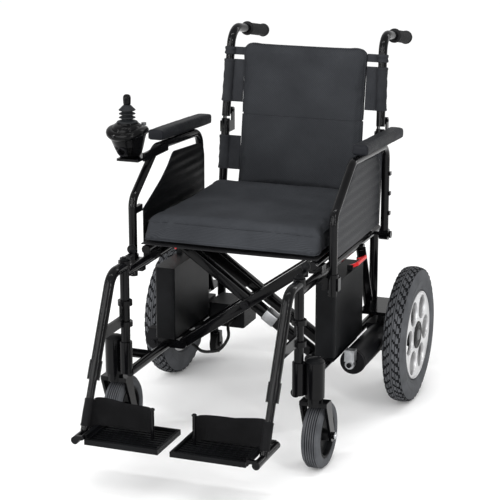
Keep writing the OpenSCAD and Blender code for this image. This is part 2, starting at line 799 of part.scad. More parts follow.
module seat_sling() {
    color(black) block([-seat_rail_x - 11, seat_front_y + 4, sling_z],
        [seat_rail_x + 11, seat_front_y + seat_d - 8, sling_z + sling_t]);
}

module seat_cushion() {
    color(soft_black) translate([0, seat_front_y + seat_d / 2, cushion_z])
        round_prism(seat_w, seat_d, cushion_t, 16);
}

// ---- hand control ----

module pod_bracket() {
    in_x = -(arm_x - arm_r - seat_gap);
    color(black) {
        block([in_x, pod_y + 20, pod_z - 12], [in_x + 6, pad_front_y + 24, pod_z + 8]);
        block([pod_x - 20, pod_y - 20, pod_z - 6 - seat_gap], [in_x + 6, pod_y + 60, pod_z - seat_gap]);
    }
}

module pod_housing() {
    color(soft_black) translate([pod_x, pod_y, pod_z]) difference() {
        union() {
            // Tapered lower shell
            hull() {
                translate([0, 14, 0]) cylinder(r = 24, h = 1, $fn = 32);
                translate([0, 2, hand_rest_z]) cylinder(r = pod_w / 2 - 4, h = 1, $fn = 32);
            }
            // Round hand rest
            translate([0, -pod_l / 2 + pod_w / 2, hand_rest_z]) cylinder(r = pod_w / 2, h = hand_rest_h);
            translate([0, pod_l / 2 - pod_w / 2, hand_rest_z]) cylinder(r = pod_w / 2, h = hand_rest_h);
            translate([0, 0, hand_rest_z]) cylinder(r = 34, h = pod_h + 7 - hand_rest_z);
            translate([0, 0, pod_h + 6]) cylinder(r = 27, h = 7);
            // Collar of the charger socket
            rod([0, -10, 18], [0, -34, 18], socket_r + 3);
        }
        // Well for the joystick, and its gimbal's bearings
        translate([0, 0, pod_h + 13 - 46]) cylinder(r = 18, h = 60);
        rod([-22, 0, stick_z - pod_z], [22, 0, stick_z - pod_z], 2 + run_gap);
        rod([0, -12, 18], [0, -35, 18], socket_r);
        // Button wells in the rear of the hand rest
        for (x = [-24, 24]) {
            translate([x, 40, hand_rest_top - 6]) cylinder(r = 6 + run_gap, h = 8);
        }
    }
}

module joystick_gimbal() {
    color(silver) translate([pod_x, pod_y, stick_z]) difference() {
        union() {
            cube([11, 11, 11], center = true);
            rod([-21, 0, 0], [21, 0, 0], 2);
        }
        rod([0, -10, 0], [0, 10, 0], 2 + run_gap);
    }
}

module joystick_stick() {
    color(soft_black) translate([pod_x, pod_y, stick_z]) {
        // Yoke round the gimbal
        for (y = [-9, 6]) {
            block([-4, y, -4], [4, y + 3, 12]);
        }
        block([-4, -9, 8.3], [4, 9, 12]);
        rod([0, -9, 0], [0, 9, 0], 2);
        translate([0, 0, 10]) cylinder(r = 4, h = 62);
        translate([0, 0, 70]) cylinder(r = 8, h = 14);
        translate([0, 0, 84]) sphere(r = 8);
    }
}

module joystick_boot() {
    h = 42;
    z = pod_top_z + seat_gap;
    color(black) translate([pod_x, pod_y, z]) rotate_extrude() difference() {
        polygon([[0, 0], [26, 0], [26, 3], [20, 8], [21, 12], [16, 14], [20, 18], [20, 20],
            [14, 23], [18, 27], [18, 29], [11, 32], [10, 40], [7, h], [0, h]]);
        polygon([[-1, -1], [17, -1], [15, 6], [10, 18], [7, 28], [4 + seat_gap, 34],
            [4 + seat_gap, h + 1], [-1, h + 1]]);
    }
}

module button(x) {
    translate([pod_x + x, pod_y + 40, pod_z + hand_rest_top - 3]) cylinder(r = 6, h = 6);
}

module power_button() {
    color("#8c1518") button(-24);
}

module speed_button() {
    color(grey) button(24);
}

module control_box() {
    color(soft_black) {
        translate([-(low_x - tube_r) + 52, 195, low_z - 20]) round_prism(96, 96, 60, 6);
        block([-(low_x + 4), 170, low_z + tube_r + seat_gap],
            [-(low_x - tube_r) + 8, 220, low_z + tube_r + 6]);
    }
}

// Cable from the control box to the right motor, in one loop
cable_pts = [[-120, 146, 190], [-120, 110, 185], [-112, 90, 160], [-130, 80, 130], [-160, 84, 118],
    [-190, 100, 112], [-215, 120, 116], [-240, 133, 122], [-252, 138, 132], [-252, 138, 147.7]];
cable_r = 4;

module motor_cable() {
    color(black) {
        for (i = [0:len(cable_pts) - 2]) {
            rod(cable_pts[i], cable_pts[i + 1], cable_r);
        }
        for (i = [1:len(cable_pts) - 2]) {
            translate(cable_pts[i]) sphere(r = cable_r + bead);
        }
    }
}

// ---- anti-tip wheels ----

tip_y = wheel_y + 118;
tip_z = 46;
tip_r = 26;

module anti_tip_bar(side) {
    start = [motor_x, wheel_y + 13, wheel_z - 20];
    color(black) on(side) {
        pipe([start, [motor_x, wheel_y + 70, wheel_z - 20], [motor_x, tip_y, tip_z + 32]], 8, 20);
        for (x = [motor_x - 14, motor_x + 10]) {
            rod([x, tip_y, tip_z], [x + 4, tip_y, tip_z], 9);
            block([x, tip_y - 9, tip_z], [x + 4, tip_y + 9, tip_z + 34]);
        }
        block([motor_x - 14, tip_y - 9, tip_z + 30], [motor_x + 14, tip_y + 9, tip_z + 34]);
        rod([motor_x - 16, tip_y, tip_z], [motor_x + 16, tip_y, tip_z], 4);
    }
}

module anti_tip_wheel(side) {
    color(black) on(side) translate([motor_x, tip_y, tip_z]) rotate([0, 90, 0]) difference() {
        cylinder(r = tip_r, h = 18, center = true);
        cylinder(r = 4 + run_gap, h = 30, center = true);
    }
}

for (side = SIDES) {
    side_frame(side);
    battery_box(side);
    battery_handle(side);
    drive_motor(side);
    motor_release(side);
    drive_rim(side);
    drive_tyre(side);
    caster_fork(side);
    caster_hub(side);
    caster_tyre(side);
    hanger(side);
    hanger_latch(side);
    footrest_tube(side);
    footplate(side);
    heel_strap(side);
    arm_frame(side);
    arm_pad(side);
    skirt_panel(side);
    upper_cane(side);
    push_grip(side);
    anti_tip_bar(side);
    anti_tip_wheel(side);
}
brace_a();
brace_b();
brace_bolt();
seat_sling();
seat_cushion();
back_upper();
back_lower();
pod_bracket();
pod_housing();
joystick_gimbal();
joystick_stick();
joystick_boot();
power_button();
speed_button();
control_box();
motor_cable();
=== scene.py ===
import bpy, bmesh, json, math
from mathutils import Matrix, Vector
from mathutils.bvhtree import BVHTree

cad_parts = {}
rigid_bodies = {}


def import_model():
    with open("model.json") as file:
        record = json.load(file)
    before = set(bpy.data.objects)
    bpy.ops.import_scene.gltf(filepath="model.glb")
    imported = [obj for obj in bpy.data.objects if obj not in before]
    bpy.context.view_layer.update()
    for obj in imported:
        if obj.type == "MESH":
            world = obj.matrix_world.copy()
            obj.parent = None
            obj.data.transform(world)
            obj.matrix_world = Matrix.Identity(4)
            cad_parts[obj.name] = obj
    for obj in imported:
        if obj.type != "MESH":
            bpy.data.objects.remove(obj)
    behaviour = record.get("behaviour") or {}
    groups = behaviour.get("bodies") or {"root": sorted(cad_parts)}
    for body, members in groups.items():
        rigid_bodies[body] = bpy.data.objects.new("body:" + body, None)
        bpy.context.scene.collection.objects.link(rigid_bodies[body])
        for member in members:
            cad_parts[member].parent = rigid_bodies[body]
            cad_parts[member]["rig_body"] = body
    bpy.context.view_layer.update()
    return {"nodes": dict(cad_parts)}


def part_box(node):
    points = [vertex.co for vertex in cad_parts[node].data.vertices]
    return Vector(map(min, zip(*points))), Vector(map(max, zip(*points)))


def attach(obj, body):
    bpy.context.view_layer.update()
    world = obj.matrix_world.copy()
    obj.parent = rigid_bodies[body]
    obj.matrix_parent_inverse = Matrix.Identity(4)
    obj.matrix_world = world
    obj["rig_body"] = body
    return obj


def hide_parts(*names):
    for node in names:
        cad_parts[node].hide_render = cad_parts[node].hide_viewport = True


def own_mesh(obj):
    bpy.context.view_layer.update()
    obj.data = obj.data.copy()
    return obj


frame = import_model()
cad = frame["nodes"]
scene = bpy.context.scene

# ---- camera, floor and lights ----

lens = bpy.data.cameras.new("camera")
lens.lens = 122.4
lens.sensor_width = 36
camera = bpy.data.objects.new("camera", lens)
scene.collection.objects.link(camera)
camera.location = (1.3586, -3.7090, 1.4996)
aim = Vector((0.0225, -0.1146, 0.4528)) - camera.location
camera.rotation_euler = aim.to_track_quat("-Z", "Y").to_euler()
scene.camera = camera


def lamp(name, place, target, width, height, power):
    """A rectangular soft light at place that faces target."""
    light = bpy.data.lights.new(name, "AREA")
    light.shape = "RECTANGLE"
    light.size = width
    light.size_y = height
    light.energy = power
    holder = bpy.data.objects.new(name, light)
    scene.collection.objects.link(holder)
    holder.location = place
    holder.rotation_euler = (Vector(target) - Vector(place)).to_track_quat("-Z", "Y").to_euler()


def sun(name, direction, strength, spread):
    """Even light from far away, softened over spread degrees."""
    light = bpy.data.lights.new(name, "SUN")
    light.energy = strength
    light.angle = math.radians(spread)
    holder = bpy.data.objects.new(name, light)
    scene.collection.objects.link(holder)
    holder.rotation_euler = (-Vector(direction)).to_track_quat("-Z", "Y").to_euler()


sun("front_fill", (-0.12, -1.0, 0.40), 2.4, 50)
lamp("right_strip", (2.2, -1.6, 1.4), (0, 0, 0.5), 0.05, 2.6, 30)
lamp("left_strip", (-2.2, -1.9, 1.4), (0, 0, 0.5), 0.05, 2.6, 30)
lamp("rear_strip", (1.6, 2.2, 1.9), (0, 0, 0.6), 0.3, 2.2, 12)
lamp("overhead_strip", (0.1, -0.6, 3.0), (0, 0, 0.4), 2.6, 0.06, 20)

scene.view_settings.view_transform = "Standard"
world = bpy.data.worlds.new("studio")
scene.world = world
world.use_nodes = True
world.node_tree.nodes["Background"].inputs["Color"].default_value = (1, 1, 1, 1)
world.node_tree.nodes["Background"].inputs["Strength"].default_value = 0.8

# ---- finishes ----


def laid_along(tree, place, turn):
    """The object's coordinates, turned by turn degrees round x, y and z."""
    laid = tree.nodes.new("ShaderNodeMapping")
    laid.inputs["Rotation"].default_value = [math.radians(a) for a in turn]
    tree.links.new(place, laid.inputs["Vector"])
    return laid.outputs["Vector"]


def finish(name, dark, light, rough, metal=0.0, mottle=30, specular=0.2, grain=()):
    """A shaded surface. dark and light are the ends of its colour variation, rough its range of
    roughness, mottle the scale of the variation, and grain a list of bumps, finest last."""
    mat = bpy.data.materials.new(name)
    mat.use_nodes = True
    tree = mat.node_tree
    shader = tree.nodes["Principled BSDF"]
    shader.inputs["Metallic"].default_value = metal
    shader.inputs["Specular IOR Level"].default_value = specular
    place = tree.nodes.new("ShaderNodeTexCoord").outputs["Object"]

    cloud = tree.nodes.new("ShaderNodeTexNoise")
    cloud.inputs["Scale"].default_value = mottle
    cloud.inputs["Detail"].default_value = 4
    tree.links.new(place, cloud.inputs["Vector"])
    ramp = tree.nodes.new("ShaderNodeValToRGB")
    ramp.color_ramp.elements[0].position = 0.3
    ramp.color_ramp.elements[1].position = 0.7
    ramp.color_ramp.elements[0].color = (*dark, 1)
    ramp.color_ramp.elements[1].color = (*light, 1)
    tree.links.new(cloud.outputs["Fac"], ramp.inputs["Fac"])
    tree.links.new(ramp.outputs["Color"], shader.inputs["Base Color"])

    spread = tree.nodes.new("ShaderNodeMapRange")
    spread.inputs["To Min"].default_value = rough[0]
    spread.inputs["To Max"].default_value = rough[1]
    tree.links.new(cloud.outputs["Fac"], spread.inputs["Value"])
    tree.links.new(spread.outputs["Result"], shader.inputs["Roughness"])

    below = None
    for kind, scale, depth, turn in grain:
        along = laid_along(tree, place, turn)
        if kind == "noise":
            pattern = tree.nodes.new("ShaderNodeTexNoise")
            pattern.inputs["Detail"].default_value = 3
            height = pattern.outputs["Fac"]
        elif kind == "cells":
            pattern = tree.nodes.new("ShaderNodeTexVoronoi")
            height = pattern.outputs["Distance"]
        else:
            pattern = tree.nodes.new("ShaderNodeTexWave")
            pattern.bands_direction = "X"
            pattern.inputs["Distortion"].default_value = 0.6
            pattern.inputs["Detail"].default_value = 1
            height = pattern.outputs["Fac"]
        pattern.inputs["Scale"].default_value = scale
        tree.links.new(along, pattern.inputs["Vector"])
        bump = tree.nodes.new("ShaderNodeBump")
        bump.inputs["Strength"].default_value = 1.0
        bump.inputs["Distance"].default_value = depth
        tree.links.new(height, bump.inputs["Height"])
        if below:
            tree.links.new(below, bump.inputs["Normal"])
        below = bump.outputs["Normal"]
    if below:
        tree.links.new(below, shader.inputs["Normal"])
    return mat


def with_threads(mat, scale, turn, share):
    """Lets a weave's threads show in the colour too."""
    tree = mat.node_tree
    shader = tree.nodes["Principled BSDF"]
    ground = shader.inputs["Base Color"].links[0].from_socket
    place = next(n for n in tree.nodes if n.type == "TEX_COORD").outputs["Object"]
    wave = tree.nodes.new("ShaderNodeTexWave")
    wave.bands_direction = "X"
    wave.inputs["Scale"].default_value = scale
    wave.inputs["Distortion"].default_value = 1.2
    wave.inputs["Detail"].default_value = 2
    tree.links.new(laid_along(tree, place, turn), wave.inputs["Vector"])
    tone = tree.nodes.new("ShaderNodeValToRGB")
    tone.color_ramp.elements[0].color = (1 - share, 1 - share, 1 - share, 1)
    tone.color_ramp.elements[1].color = (1, 1, 1, 1)
    tree.links.new(wave.outputs["Fac"], tone.inputs["Fac"])
    mix = tree.nodes.new("ShaderNodeMix")
    mix.data_type = "RGBA"
    mix.blend_type = "MULTIPLY"
    mix.inputs["Factor"].default_value = 1.0
    tree.links.new(ground, mix.inputs["A"])
    tree.links.new(tone.outputs["Color"], mix.inputs["B"])
    tree.links.new(mix.outputs["Result"], shader.inputs["Base Color"])
    return mat


gloss_black = finish("gloss_black_tube", (0.0010, 0.0010, 0.0012), (0.0028, 0.0028, 0.0033), (0.08, 0.17),
                     mottle=22, specular=0.14,
                     grain=[("noise", 60, 0.00015, (0, 0, 0)), ("noise", 420, 0.00005, (0, 0, 0))])
satin_black = finish("satin_black_casting", (0.002, 0.002, 0.0025), (0.005, 0.005, 0.006), (0.36, 0.5),
                     mottle=18, specular=0.1, grain=[("noise", 160, 0.0003, (0, 0, 0))])
moulded_black = finish("moulded_black_plastic", (0.0012, 0.0013, 0.0016), (0.0036, 0.0039, 0.0046),
                       (0.36, 0.5), mottle=14, specular=0.09, grain=[("cells", 620, 0.00025, (0, 0, 0))])
pod_black = finish("pod_shell_plastic", (0.0012, 0.0012, 0.0014), (0.003, 0.003, 0.0034), (0.12, 0.2),
                   mottle=24, specular=0.1, grain=[("noise", 700, 0.00006, (0, 0, 0))])
ribbed_grey = finish("ribbed_grey_panel", (0.017, 0.0176, 0.0195), (0.026, 0.027, 0.0298), (0.42, 0.56),
                     mottle=16, specular=0.12, grain=[("cells", 520, 0.0003, (0, 0, 0))])
tyre_grey = finish("grey_black_tyre", (0.045, 0.047, 0.051), (0.078, 0.081, 0.087), (0.62, 0.8),
                   mottle=26, specular=0.12, grain=[("noise", 260, 0.0005, (0, 0, 0))])
# Painted shade: a near-black, much darker than the tyre rubber, put on the tread grooves where shade falls.
groove_painted_shade = finish("tread_groove_rubber", (0.006, 0.0062, 0.007), (0.012, 0.0125, 0.014), (0.7, 0.85),
                      mottle=26, specular=0.05, grain=[("noise", 260, 0.0003, (0, 0, 0))])
caster_grey = finish("grey_caster_tyre", (0.045, 0.0475, 0.052), (0.075, 0.078, 0.084), (0.55, 0.7),
                     mottle=30, specular=0.12, grain=[("noise", 300, 0.0003, (0, 0, 0))])
grip_rubber = finish("grip_rubber", (0.005, 0.005, 0.005), (0.011, 0.011, 0.012), (0.55, 0.7),
                     mottle=30, specular=0.12, grain=[("cells", 700, 0.0004, (0, 0, 0))])
boot_rubber = finish("boot_rubber", (0.005, 0.0056, 0.0064), (0.0105, 0.0115, 0.013), (0.42, 0.56),
                     mottle=50, specular=0.15, grain=[("noise", 500, 0.0001, (0, 0, 0))])
satin_silver = finish("satin_silver_rim", (0.5, 0.5, 0.505), (0.62, 0.62, 0.625), (0.34, 0.46), metal=0.85,
                      mottle=26, specular=0.5, grain=[("noise", 700, 0.0001, (0, 0, 0))])
zinc = finish("zinc_plated_steel", (0.4, 0.41, 0.42), (0.6, 0.61, 0.63), (0.24, 0.4), metal=1.0,
              mottle=60, specular=0.5, grain=[("wave", 260, 0.00006, (0, 0, 0))])
sleeve_metal = finish("brushed_sleeve_metal", (0.2, 0.205, 0.21), (0.32, 0.325, 0.335), (0.3, 0.42),
                      metal=1.0, mottle=60, specular=0.5, grain=[("wave", 260, 0.00006, (0, 0, 0))])
cap_grey = finish("grey_hub_cap", (0.075, 0.077, 0.08), (0.12, 0.122, 0.126), (0.35, 0.5),
                  mottle=30, grain=[("noise", 400, 0.0001, (0, 0, 0))])
red_plastic = finish("red_handle_plastic", (0.52, 0.012, 0.014), (0.62, 0.02, 0.022), (0.28, 0.4),
                     mottle=40, specular=0.4, grain=[("noise", 500, 0.00006, (0, 0, 0))])
pad_vinyl = finish("black_pad_vinyl", (0.006, 0.0064, 0.0078), (0.0125, 0.0133, 0.016), (0.42, 0.54),
                   mottle=12, specular=0.07,
                   grain=[("noise", 30, 0.001, (0, 0, 0)), ("cells", 420, 0.0004, (0, 0, 0))])
seat_cloth = with_threads(
    finish("charcoal_seat_cloth", (0.024, 0.0258, 0.0295), (0.037, 0.0395, 0.0445), (0.72, 0.86), mottle=9,
           specular=0.08,
           grain=[("noise", 14, 0.003, (0, 0, 0)), ("wave", 190, 0.0002, (0, 0, 0)),
                  ("wave", 190, 0.0002, (0, 0, 90))]),
    190, (0, 0, 90), 0.3)
back_cloth = with_threads(
    finish("black_twill_back", (0.021, 0.0225, 0.026), (0.034, 0.0365, 0.041), (0.68, 0.82), mottle=9,
           specular=0.1, grain=[("noise", 12, 0.003, (0, 0, 0)), ("wave", 95, 0.0006, (0, 50, 0))]),
    95, (0, 50, 0), 0.55)
sleeve_cloth = with_threads(
    finish("black_sleeve_cloth", (0.015, 0.016, 0.0185), (0.026, 0.0275, 0.031), (0.66, 0.8), mottle=20,
           specular=0.1, grain=[("noise", 40, 0.002, (0, 0, 0)), ("wave", 160, 0.0003, (0, 40, 0))]),
    160, (0, 40, 0), 0.3)
sling_nylon = finish("black_sling_nylon", (0.004, 0.004, 0.005), (0.009, 0.009, 0.01), (0.5, 0.65), mottle=20,
                     grain=[("wave", 260, 0.0003, (0, 0, 0)), ("wave", 260, 0.0003, (0, 0, 90))])
webbing = with_threads(
    finish("black_heel_webbing", (0.003, 0.003, 0.0035), (0.008, 0.008, 0.009), (0.6, 0.75), mottle=30,
           specular=0.12, grain=[("wave", 240, 0.0005, (0, 90, 0)), ("wave", 300, 0.0003, (0, 0, 45))]),
    240, (0, 90, 0), 0.4)
cable_black = finish("cable_jacket", (0.004, 0.004, 0.004), (0.009, 0.009, 0.009), (0.45, 0.6), mottle=60,
                     grain=[("noise", 400, 0.0001, (0, 0, 0))])
# Painted shade: a matte near-black put in hollows, the pod's vent slots and the charger socket, where there
# is only shade.
hollow_painted_shade = finish("unlit_hollow", (0.001, 0.001, 0.001), (0.003, 0.003, 0.003), (0.8, 0.95), mottle=20,
                      specular=0.05)
pale_floor = finish("pale_floor", (0.93, 0.93, 0.93), (0.95, 0.95, 0.95), (0.8, 0.9), mottle=1.2,
                    specular=0.0)

node_finish = {
    "side_frame": gloss_black, "battery_box": moulded_black, "battery_handle": red_plastic,
    "drive_motor": satin_black, "motor_release": zinc, "drive_rim": satin_silver,
    "drive_tyre": tyre_grey, "caster_fork": gloss_black, "caster_hub": moulded_black,
    "caster_tyre": caster_grey, "hanger": gloss_black, "hanger_latch": moulded_black,
    "footrest_tube": gloss_black, "footplate": moulded_black, "heel_strap": webbing,
    "arm_frame": gloss_black, "arm_pad": pad_vinyl, "skirt_panel": ribbed_grey,
    "upper_cane": gloss_black, "push_grip": grip_rubber, "anti_tip_bar": gloss_black,
    "anti_tip_wheel": grip_rubber, "brace_a": gloss_black, "brace_b": gloss_black,
    "brace_bolt": satin_black, "seat_sling": sling_nylon, "seat_cushion": seat_cloth,
    "back_upper": back_cloth, "back_lower": back_cloth, "pod_bracket": gloss_black,
    "pod_housing": pod_black, "joystick_gimbal": zinc, "joystick_stick": pod_black,
    "joystick_boot": boot_rubber, "power_button": red_plastic, "speed_button": cap_grey,
    "control_box": moulded_black, "motor_cable": cable_black}
for name, node in cad.items():
    look = node_finish[name.replace("left_", "").replace("right_", "")]
    if name == "right_motor_release":
        look = satin_black
    node.data.materials.clear()
    node.data.materials.append(look)

# ---- cable from the control box to the right motor ----

CABLE_D = 0.008
CABLE_ROUTE = [(-0.120, 0.147, 0.190), (-0.120, 0.110, 0.185), (-0.112, 0.090, 0.160), (-0.130, 0.080, 0.130),
               (-0.160, 0.084, 0.118), (-0.190, 0.100, 0.112), (-0.215, 0.120, 0.116), (-0.240, 0.133, 0.122),
               (-0.252, 0.138, 0.132), (-0.252, 0.138, 0.1477)]


def rounded_route(points, steps):
    """Points on a smooth line through the given ones."""
    points = [Vector(p) for p in points]
    ends = [2 * points[0] - points[1]] + points + [2 * points[-1] - points[-2]]
    smooth = []
    for a, b, c, d in zip(ends, ends[1:], ends[2:], ends[3:]):
        for k in range(steps):
            t = k / steps
            smooth.append(0.5 * (2 * b + (c - a) * t + (2 * a - 5 * b + 4 * c - d) * t ** 2
                                 + (3 * b - a - 3 * c + d) * t ** 3))
    return smooth + [points[-1]]


cable_line = bpy.data.curves.new("motor_cable_loop", "CURVE")
cable_line.dimensions = "3D"
cable_line.bevel_depth = CABLE_D / 2
cable_line.bevel_resolution = 4
cable_line.use_fill_caps = True
cable_points = rounded_route(CABLE_ROUTE, 3)
spline = cable_line.splines.new("BEZIER")
spline.bezier_points.add(len(cable_points) - 1)
for knot, at in zip(spline.bezier_points, cable_points):
    knot.co = at
    knot.handle_left_type = knot.handle_right_type = "AUTO"
cable_line.materials.append(cable_black)
cable = bpy.data.objects.new("motor_cable_loop", cable_line)
scene.collection.objects.link(cable)
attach(cable, "right_frame")
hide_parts("motor_cable")

# ---- ways of making a piece ----


def as_object(name, bm):
    """Makes bm an object in the scene."""
    mesh = bpy.data.meshes.new(name)
    bm.to_mesh(mesh)
    bm.free()
    thing = bpy.data.objects.new(name, mesh)
    scene.collection.objects.link(thing)
    return thing


def applied(thing):
    """A new mesh of the object with its modifiers applied."""
    bpy.context.view_layer.update()
    return bpy.data.meshes.new_from_object(thing.evaluated_get(bpy.context.evaluated_depsgraph_get()))


def piece(name, bm, look, body, stands_for=(), crease=38, levels=0):
    """Makes bm a piece that rides on a body, sharp where it turns by more than crease degrees."""
    thing = as_object(name, bm)
    mesh = thing.data
    mesh.shade_smooth()
    mesh.set_sharp_from_angle(angle=math.radians(crease))
    for finish_used in look if isinstance(look, (list, tuple)) else [look]:
        mesh.materials.append(finish_used)
    if levels:
        smooth = thing.modifiers.new("smooth", "SUBSURF")
        smooth.levels = levels
        smooth.render_levels = levels
    if body:
        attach(thing, body)
    if stands_for:
        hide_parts(*([stands_for] if isinstance(stands_for, str) else stands_for))
    return thing


def toward(direction, place=(0, 0, 0)):
    """A matrix that turns z to direction and moves the origin to place."""
    return Matrix.Translation(place) @ Vector(direction).to_track_quat("Z", "Y").to_matrix().to_4x4()


def placed(bm, matrix):
    """The whole shape, moved by a matrix."""
    bmesh.ops.transform(bm, matrix=matrix, verts=bm.verts)
    return bm


def rounded(bm, edges, offset, segments):
    """The shape with some edges rounded over."""
    bmesh.ops.bevel(bm, geom=edges, offset=offset, segments=segments, profile=0.5, affect="EDGES",
                    material=-1)
    return bm


def new_verts(made):
    """The points that an extrusion made."""
    return [v for v in made["geom"] if isinstance(v, bmesh.types.BMVert)]


def block(lo, hi, bevel=0.0, segments=3):
    """A box between two corners, its edges rounded over."""
    bm = bmesh.new()
    size = [abs(b - a) for a, b in zip(lo, hi)]
    middle = [(a + b) / 2 for a, b in zip(lo, hi)]
    bmesh.ops.create_cube(bm, size=1, matrix=Matrix.Translation(middle) @ Matrix.Diagonal((*size, 1)))
    return rounded(bm, list(bm.edges), bevel, segments) if bevel else bm


def turned(profile, matrix, steps=48, into=None):
    """Turns a profile of (radius, height) points round z, then places it."""
    bm = into or bmesh.new()
    verts = [bm.verts.new((r, 0, h)) for r, h in profile]
    edges = [bm.edges.new(pair) for pair in zip(verts, verts[1:])]
    bmesh.ops.spin(bm, geom=verts + edges, cent=(0, 0, 0), axis=(0, 0, 1), angle=2 * math.pi, steps=steps,
                   use_merge=True, use_duplicate=False)
    fresh = [v for v in bm.verts if not v.tag]
    bmesh.ops.remove_doubles(bm, verts=fresh, dist=1e-6)
    fresh = [v for v in bm.verts if not v.tag]
    bmesh.ops.transform(bm, matrix=matrix, verts=fresh)
    faces = [f for f in bm.faces if not f.verts[0].tag]
    bmesh.ops.recalc_face_normals(bm, faces=faces)
    for v in bm.verts:
        v.tag = True
    return bm


def bolt(bm, place, direction, radius=0.006, height=0.004):
    """A domed bolt head with its washer."""
    head = [(0, 1), (0.55, 0.92), (0.85, 0.6), (1, 0.25), (1.35, 0.22), (1.35, 0), (0, 0)]
    return turned([(radius * r, height * h) for r, h in head], toward(direction, place), 20, bm)


def sweep(points, radius, sides=12, closed=False):
    """A round tube along points, as a bmesh."""
    curve = bpy.data.curves.new("route", "CURVE")
    curve.dimensions = "3D"
    line = curve.splines.new("BEZIER")
    line.bezier_points.add(len(points) - 1)
    for knot, at in zip(line.bezier_points, points):
        knot.co = at
        knot.handle_left_type = knot.handle_right_type = "AUTO"
    line.use_cyclic_u = closed
    curve.bevel_depth = radius
    curve.bevel_resolution = max(1, sides // 4)
    curve.resolution_u = 6
    curve.use_fill_caps = not closed
    holder = bpy.data.objects.new("route", curve)
    scene.collection.objects.link(holder)
    mesh = applied(holder)
    bm = bmesh.new()
    bm.from_mesh(mesh)
    bpy.data.objects.remove(holder)
    bpy.data.meshes.remove(mesh)
    bmesh.ops.remove_doubles(bm, verts=bm.verts, dist=1e-6)
    bmesh.ops.recalc_face_normals(bm, faces=bm.faces)
    return bm


def thickened(bm, depth):
    """Gives an open surface a wall, depth behind it."""
    made = bmesh.ops.extrude_face_region(bm, geom=list(bm.faces))
    bmesh.ops.translate(bm, verts=new_verts(made), vec=depth)
    bmesh.ops.recalc_face_normals(bm, faces=bm.faces)
    return bm


def mirrored(bm, side):
    """The same shape for the other side of the chair."""
    if side < 0:
        bmesh.ops.scale(bm, vec=(-1, 1, 1), verts=bm.verts)
        bmesh.ops.reverse_faces(bm, faces=bm.faces)
    return bm


SIDES = (("left", 1), ("right", -1))
RAKE = math.radians(8.1)
CANE_FOOT_Y, CANE_FOOT_Z = 0.289, 0.425
HINGE_Z = 0.690


def cane_y(z):
    """How far back the middle of a cane is at height z."""
    return CANE_FOOT_Y + (z - CANE_FOOT_Z) * math.tan(RAKE)


# ---- padded pieces, filled by a cloth simulation ----


def stuffing(bm, voxel):
    """Gives a rough closed form an even mesh, ready to be filled."""
    thing = as_object("blank", bm)
    rough = thing.data
    even = thing.modifiers.new("even", "REMESH")
    even.mode = "VOXEL"
    even.voxel_size = voxel
    result = applied(thing)
    thing.modifiers.clear()
    thing.data = result
    bpy.data.meshes.remove(rough)
    return thing


FILL_STEPS = 20


def fill_all(blanks, pressure):
    """Blows the blanks up together, and caps how far each of their points may move."""
    for thing, cap in blanks:
        cloth = thing.modifiers.new("fill", "CLOTH")
        cloth.settings.quality = 4
        cloth.settings.mass = 0.3
        cloth.settings.use_pressure = True
        cloth.settings.uniform_pressure_force = pressure
        cloth.settings.effector_weights.gravity = 0
        cloth.point_cache.frame_start = 1
        cloth.point_cache.frame_end = FILL_STEPS
    for step in range(1, FILL_STEPS + 1):
        scene.frame_set(step)
    ready = bpy.context.evaluated_depsgraph_get()
    for thing, cap in blanks:
        filled = [v.co.copy() for v in thing.evaluated_get(ready).data.vertices]
        thing.modifiers.clear()
        for v, swollen in zip(thing.data.vertices, filled):
            move = swollen - v.co
            if move.length > cap:
                move *= cap / move.length
            v.co += move
    scene.frame_set(1)


def taken(thing):
    """The blank's mesh as a bmesh; the blank itself goes."""
    bm = bmesh.new()
    bm.from_mesh(thing.data)
    bpy.data.objects.remove(thing)
    return bm


def seat_blank():
    """The cushion before it is filled: its front face leans back, and its top is a little narrower."""
    lo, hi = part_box("seat_cushion")
    bm = block((lo[0] + 0.004, lo[1] + 0.004, lo[2] + 0.003),
               (hi[0] - 0.004, hi[1] - 0.005, hi[2] - 0.005))
    top_front = [v for v in bm.verts if v.co.y < 0 and v.co.z > 0.5]
    bmesh.ops.translate(bm, verts=top_front, vec=(0, 0.03, 0))
    top = [v for v in bm.verts if v.co.z > 0.5]
    bmesh.ops.scale(bm, vec=(0.974, 1, 1), verts=top)
    return stuffing(rounded(bm, list(bm.edges), 0.007, 2), 0.006)


def back_blank():
    """The back panel before it is filled, upright, round at its top corners, then leant like the canes."""
    half, low, high, thick, corner = 0.168, 0.497, 0.874, 0.016, 0.026
    bm = bmesh.new()
    bmesh.ops.create_grid(bm, x_segments=1, y_segments=1, size=1)
    placed(bm, Matrix.Translation((0, 0, (low + high) / 2)) @ Matrix.Rotation(math.radians(90), 4, "X")
           @ Matrix.Diagonal((half, (high - low) / 2, 1, 1)))
    thickened(bm, (0, thick, 0))
    tops = [e for e in bm.edges
            if abs(e.verts[0].co.y - e.verts[1].co.y) > 0.01 and e.verts[0].co.z > 0.8]
    rounded(bm, tops, corner, 6)
    bmesh.ops.translate(bm, verts=bm.verts, vec=(0, -thick / 2, 0))
    placed(bm, Matrix.Translation((0, cane_y(HINGE_Z), HINGE_Z)) @ Matrix.Rotation(-RAKE, 4, "X")
           @ Matrix.Translation((0, 0, -HINGE_Z)))
    return stuffing(bm, 0.0055)


PAD_PLACE = Matrix.Translation((0.2568, -0.024, 0.6743)) @ Matrix.Rotation(math.radians(-2.9), 4, "X")


def pad_blank(side):
    """An arm pad before it is filled, with its outer rear corner cut off."""
    bm = block((-0.0195, 0.003, 0.002), (0.0195, 0.329, 0.0265))
    chamfered = [v for v in bm.verts if v.co.y > 0.3 and v.co.x > 0]
    rounded(bm, [e for e in bm.edges if all(v in chamfered for v in e.verts)], 0.012, 1)
    rounded(bm, list(bm.edges), 0.0035, 2)
    return stuffing(mirrored(placed(bm, PAD_PLACE), side), 0.004)


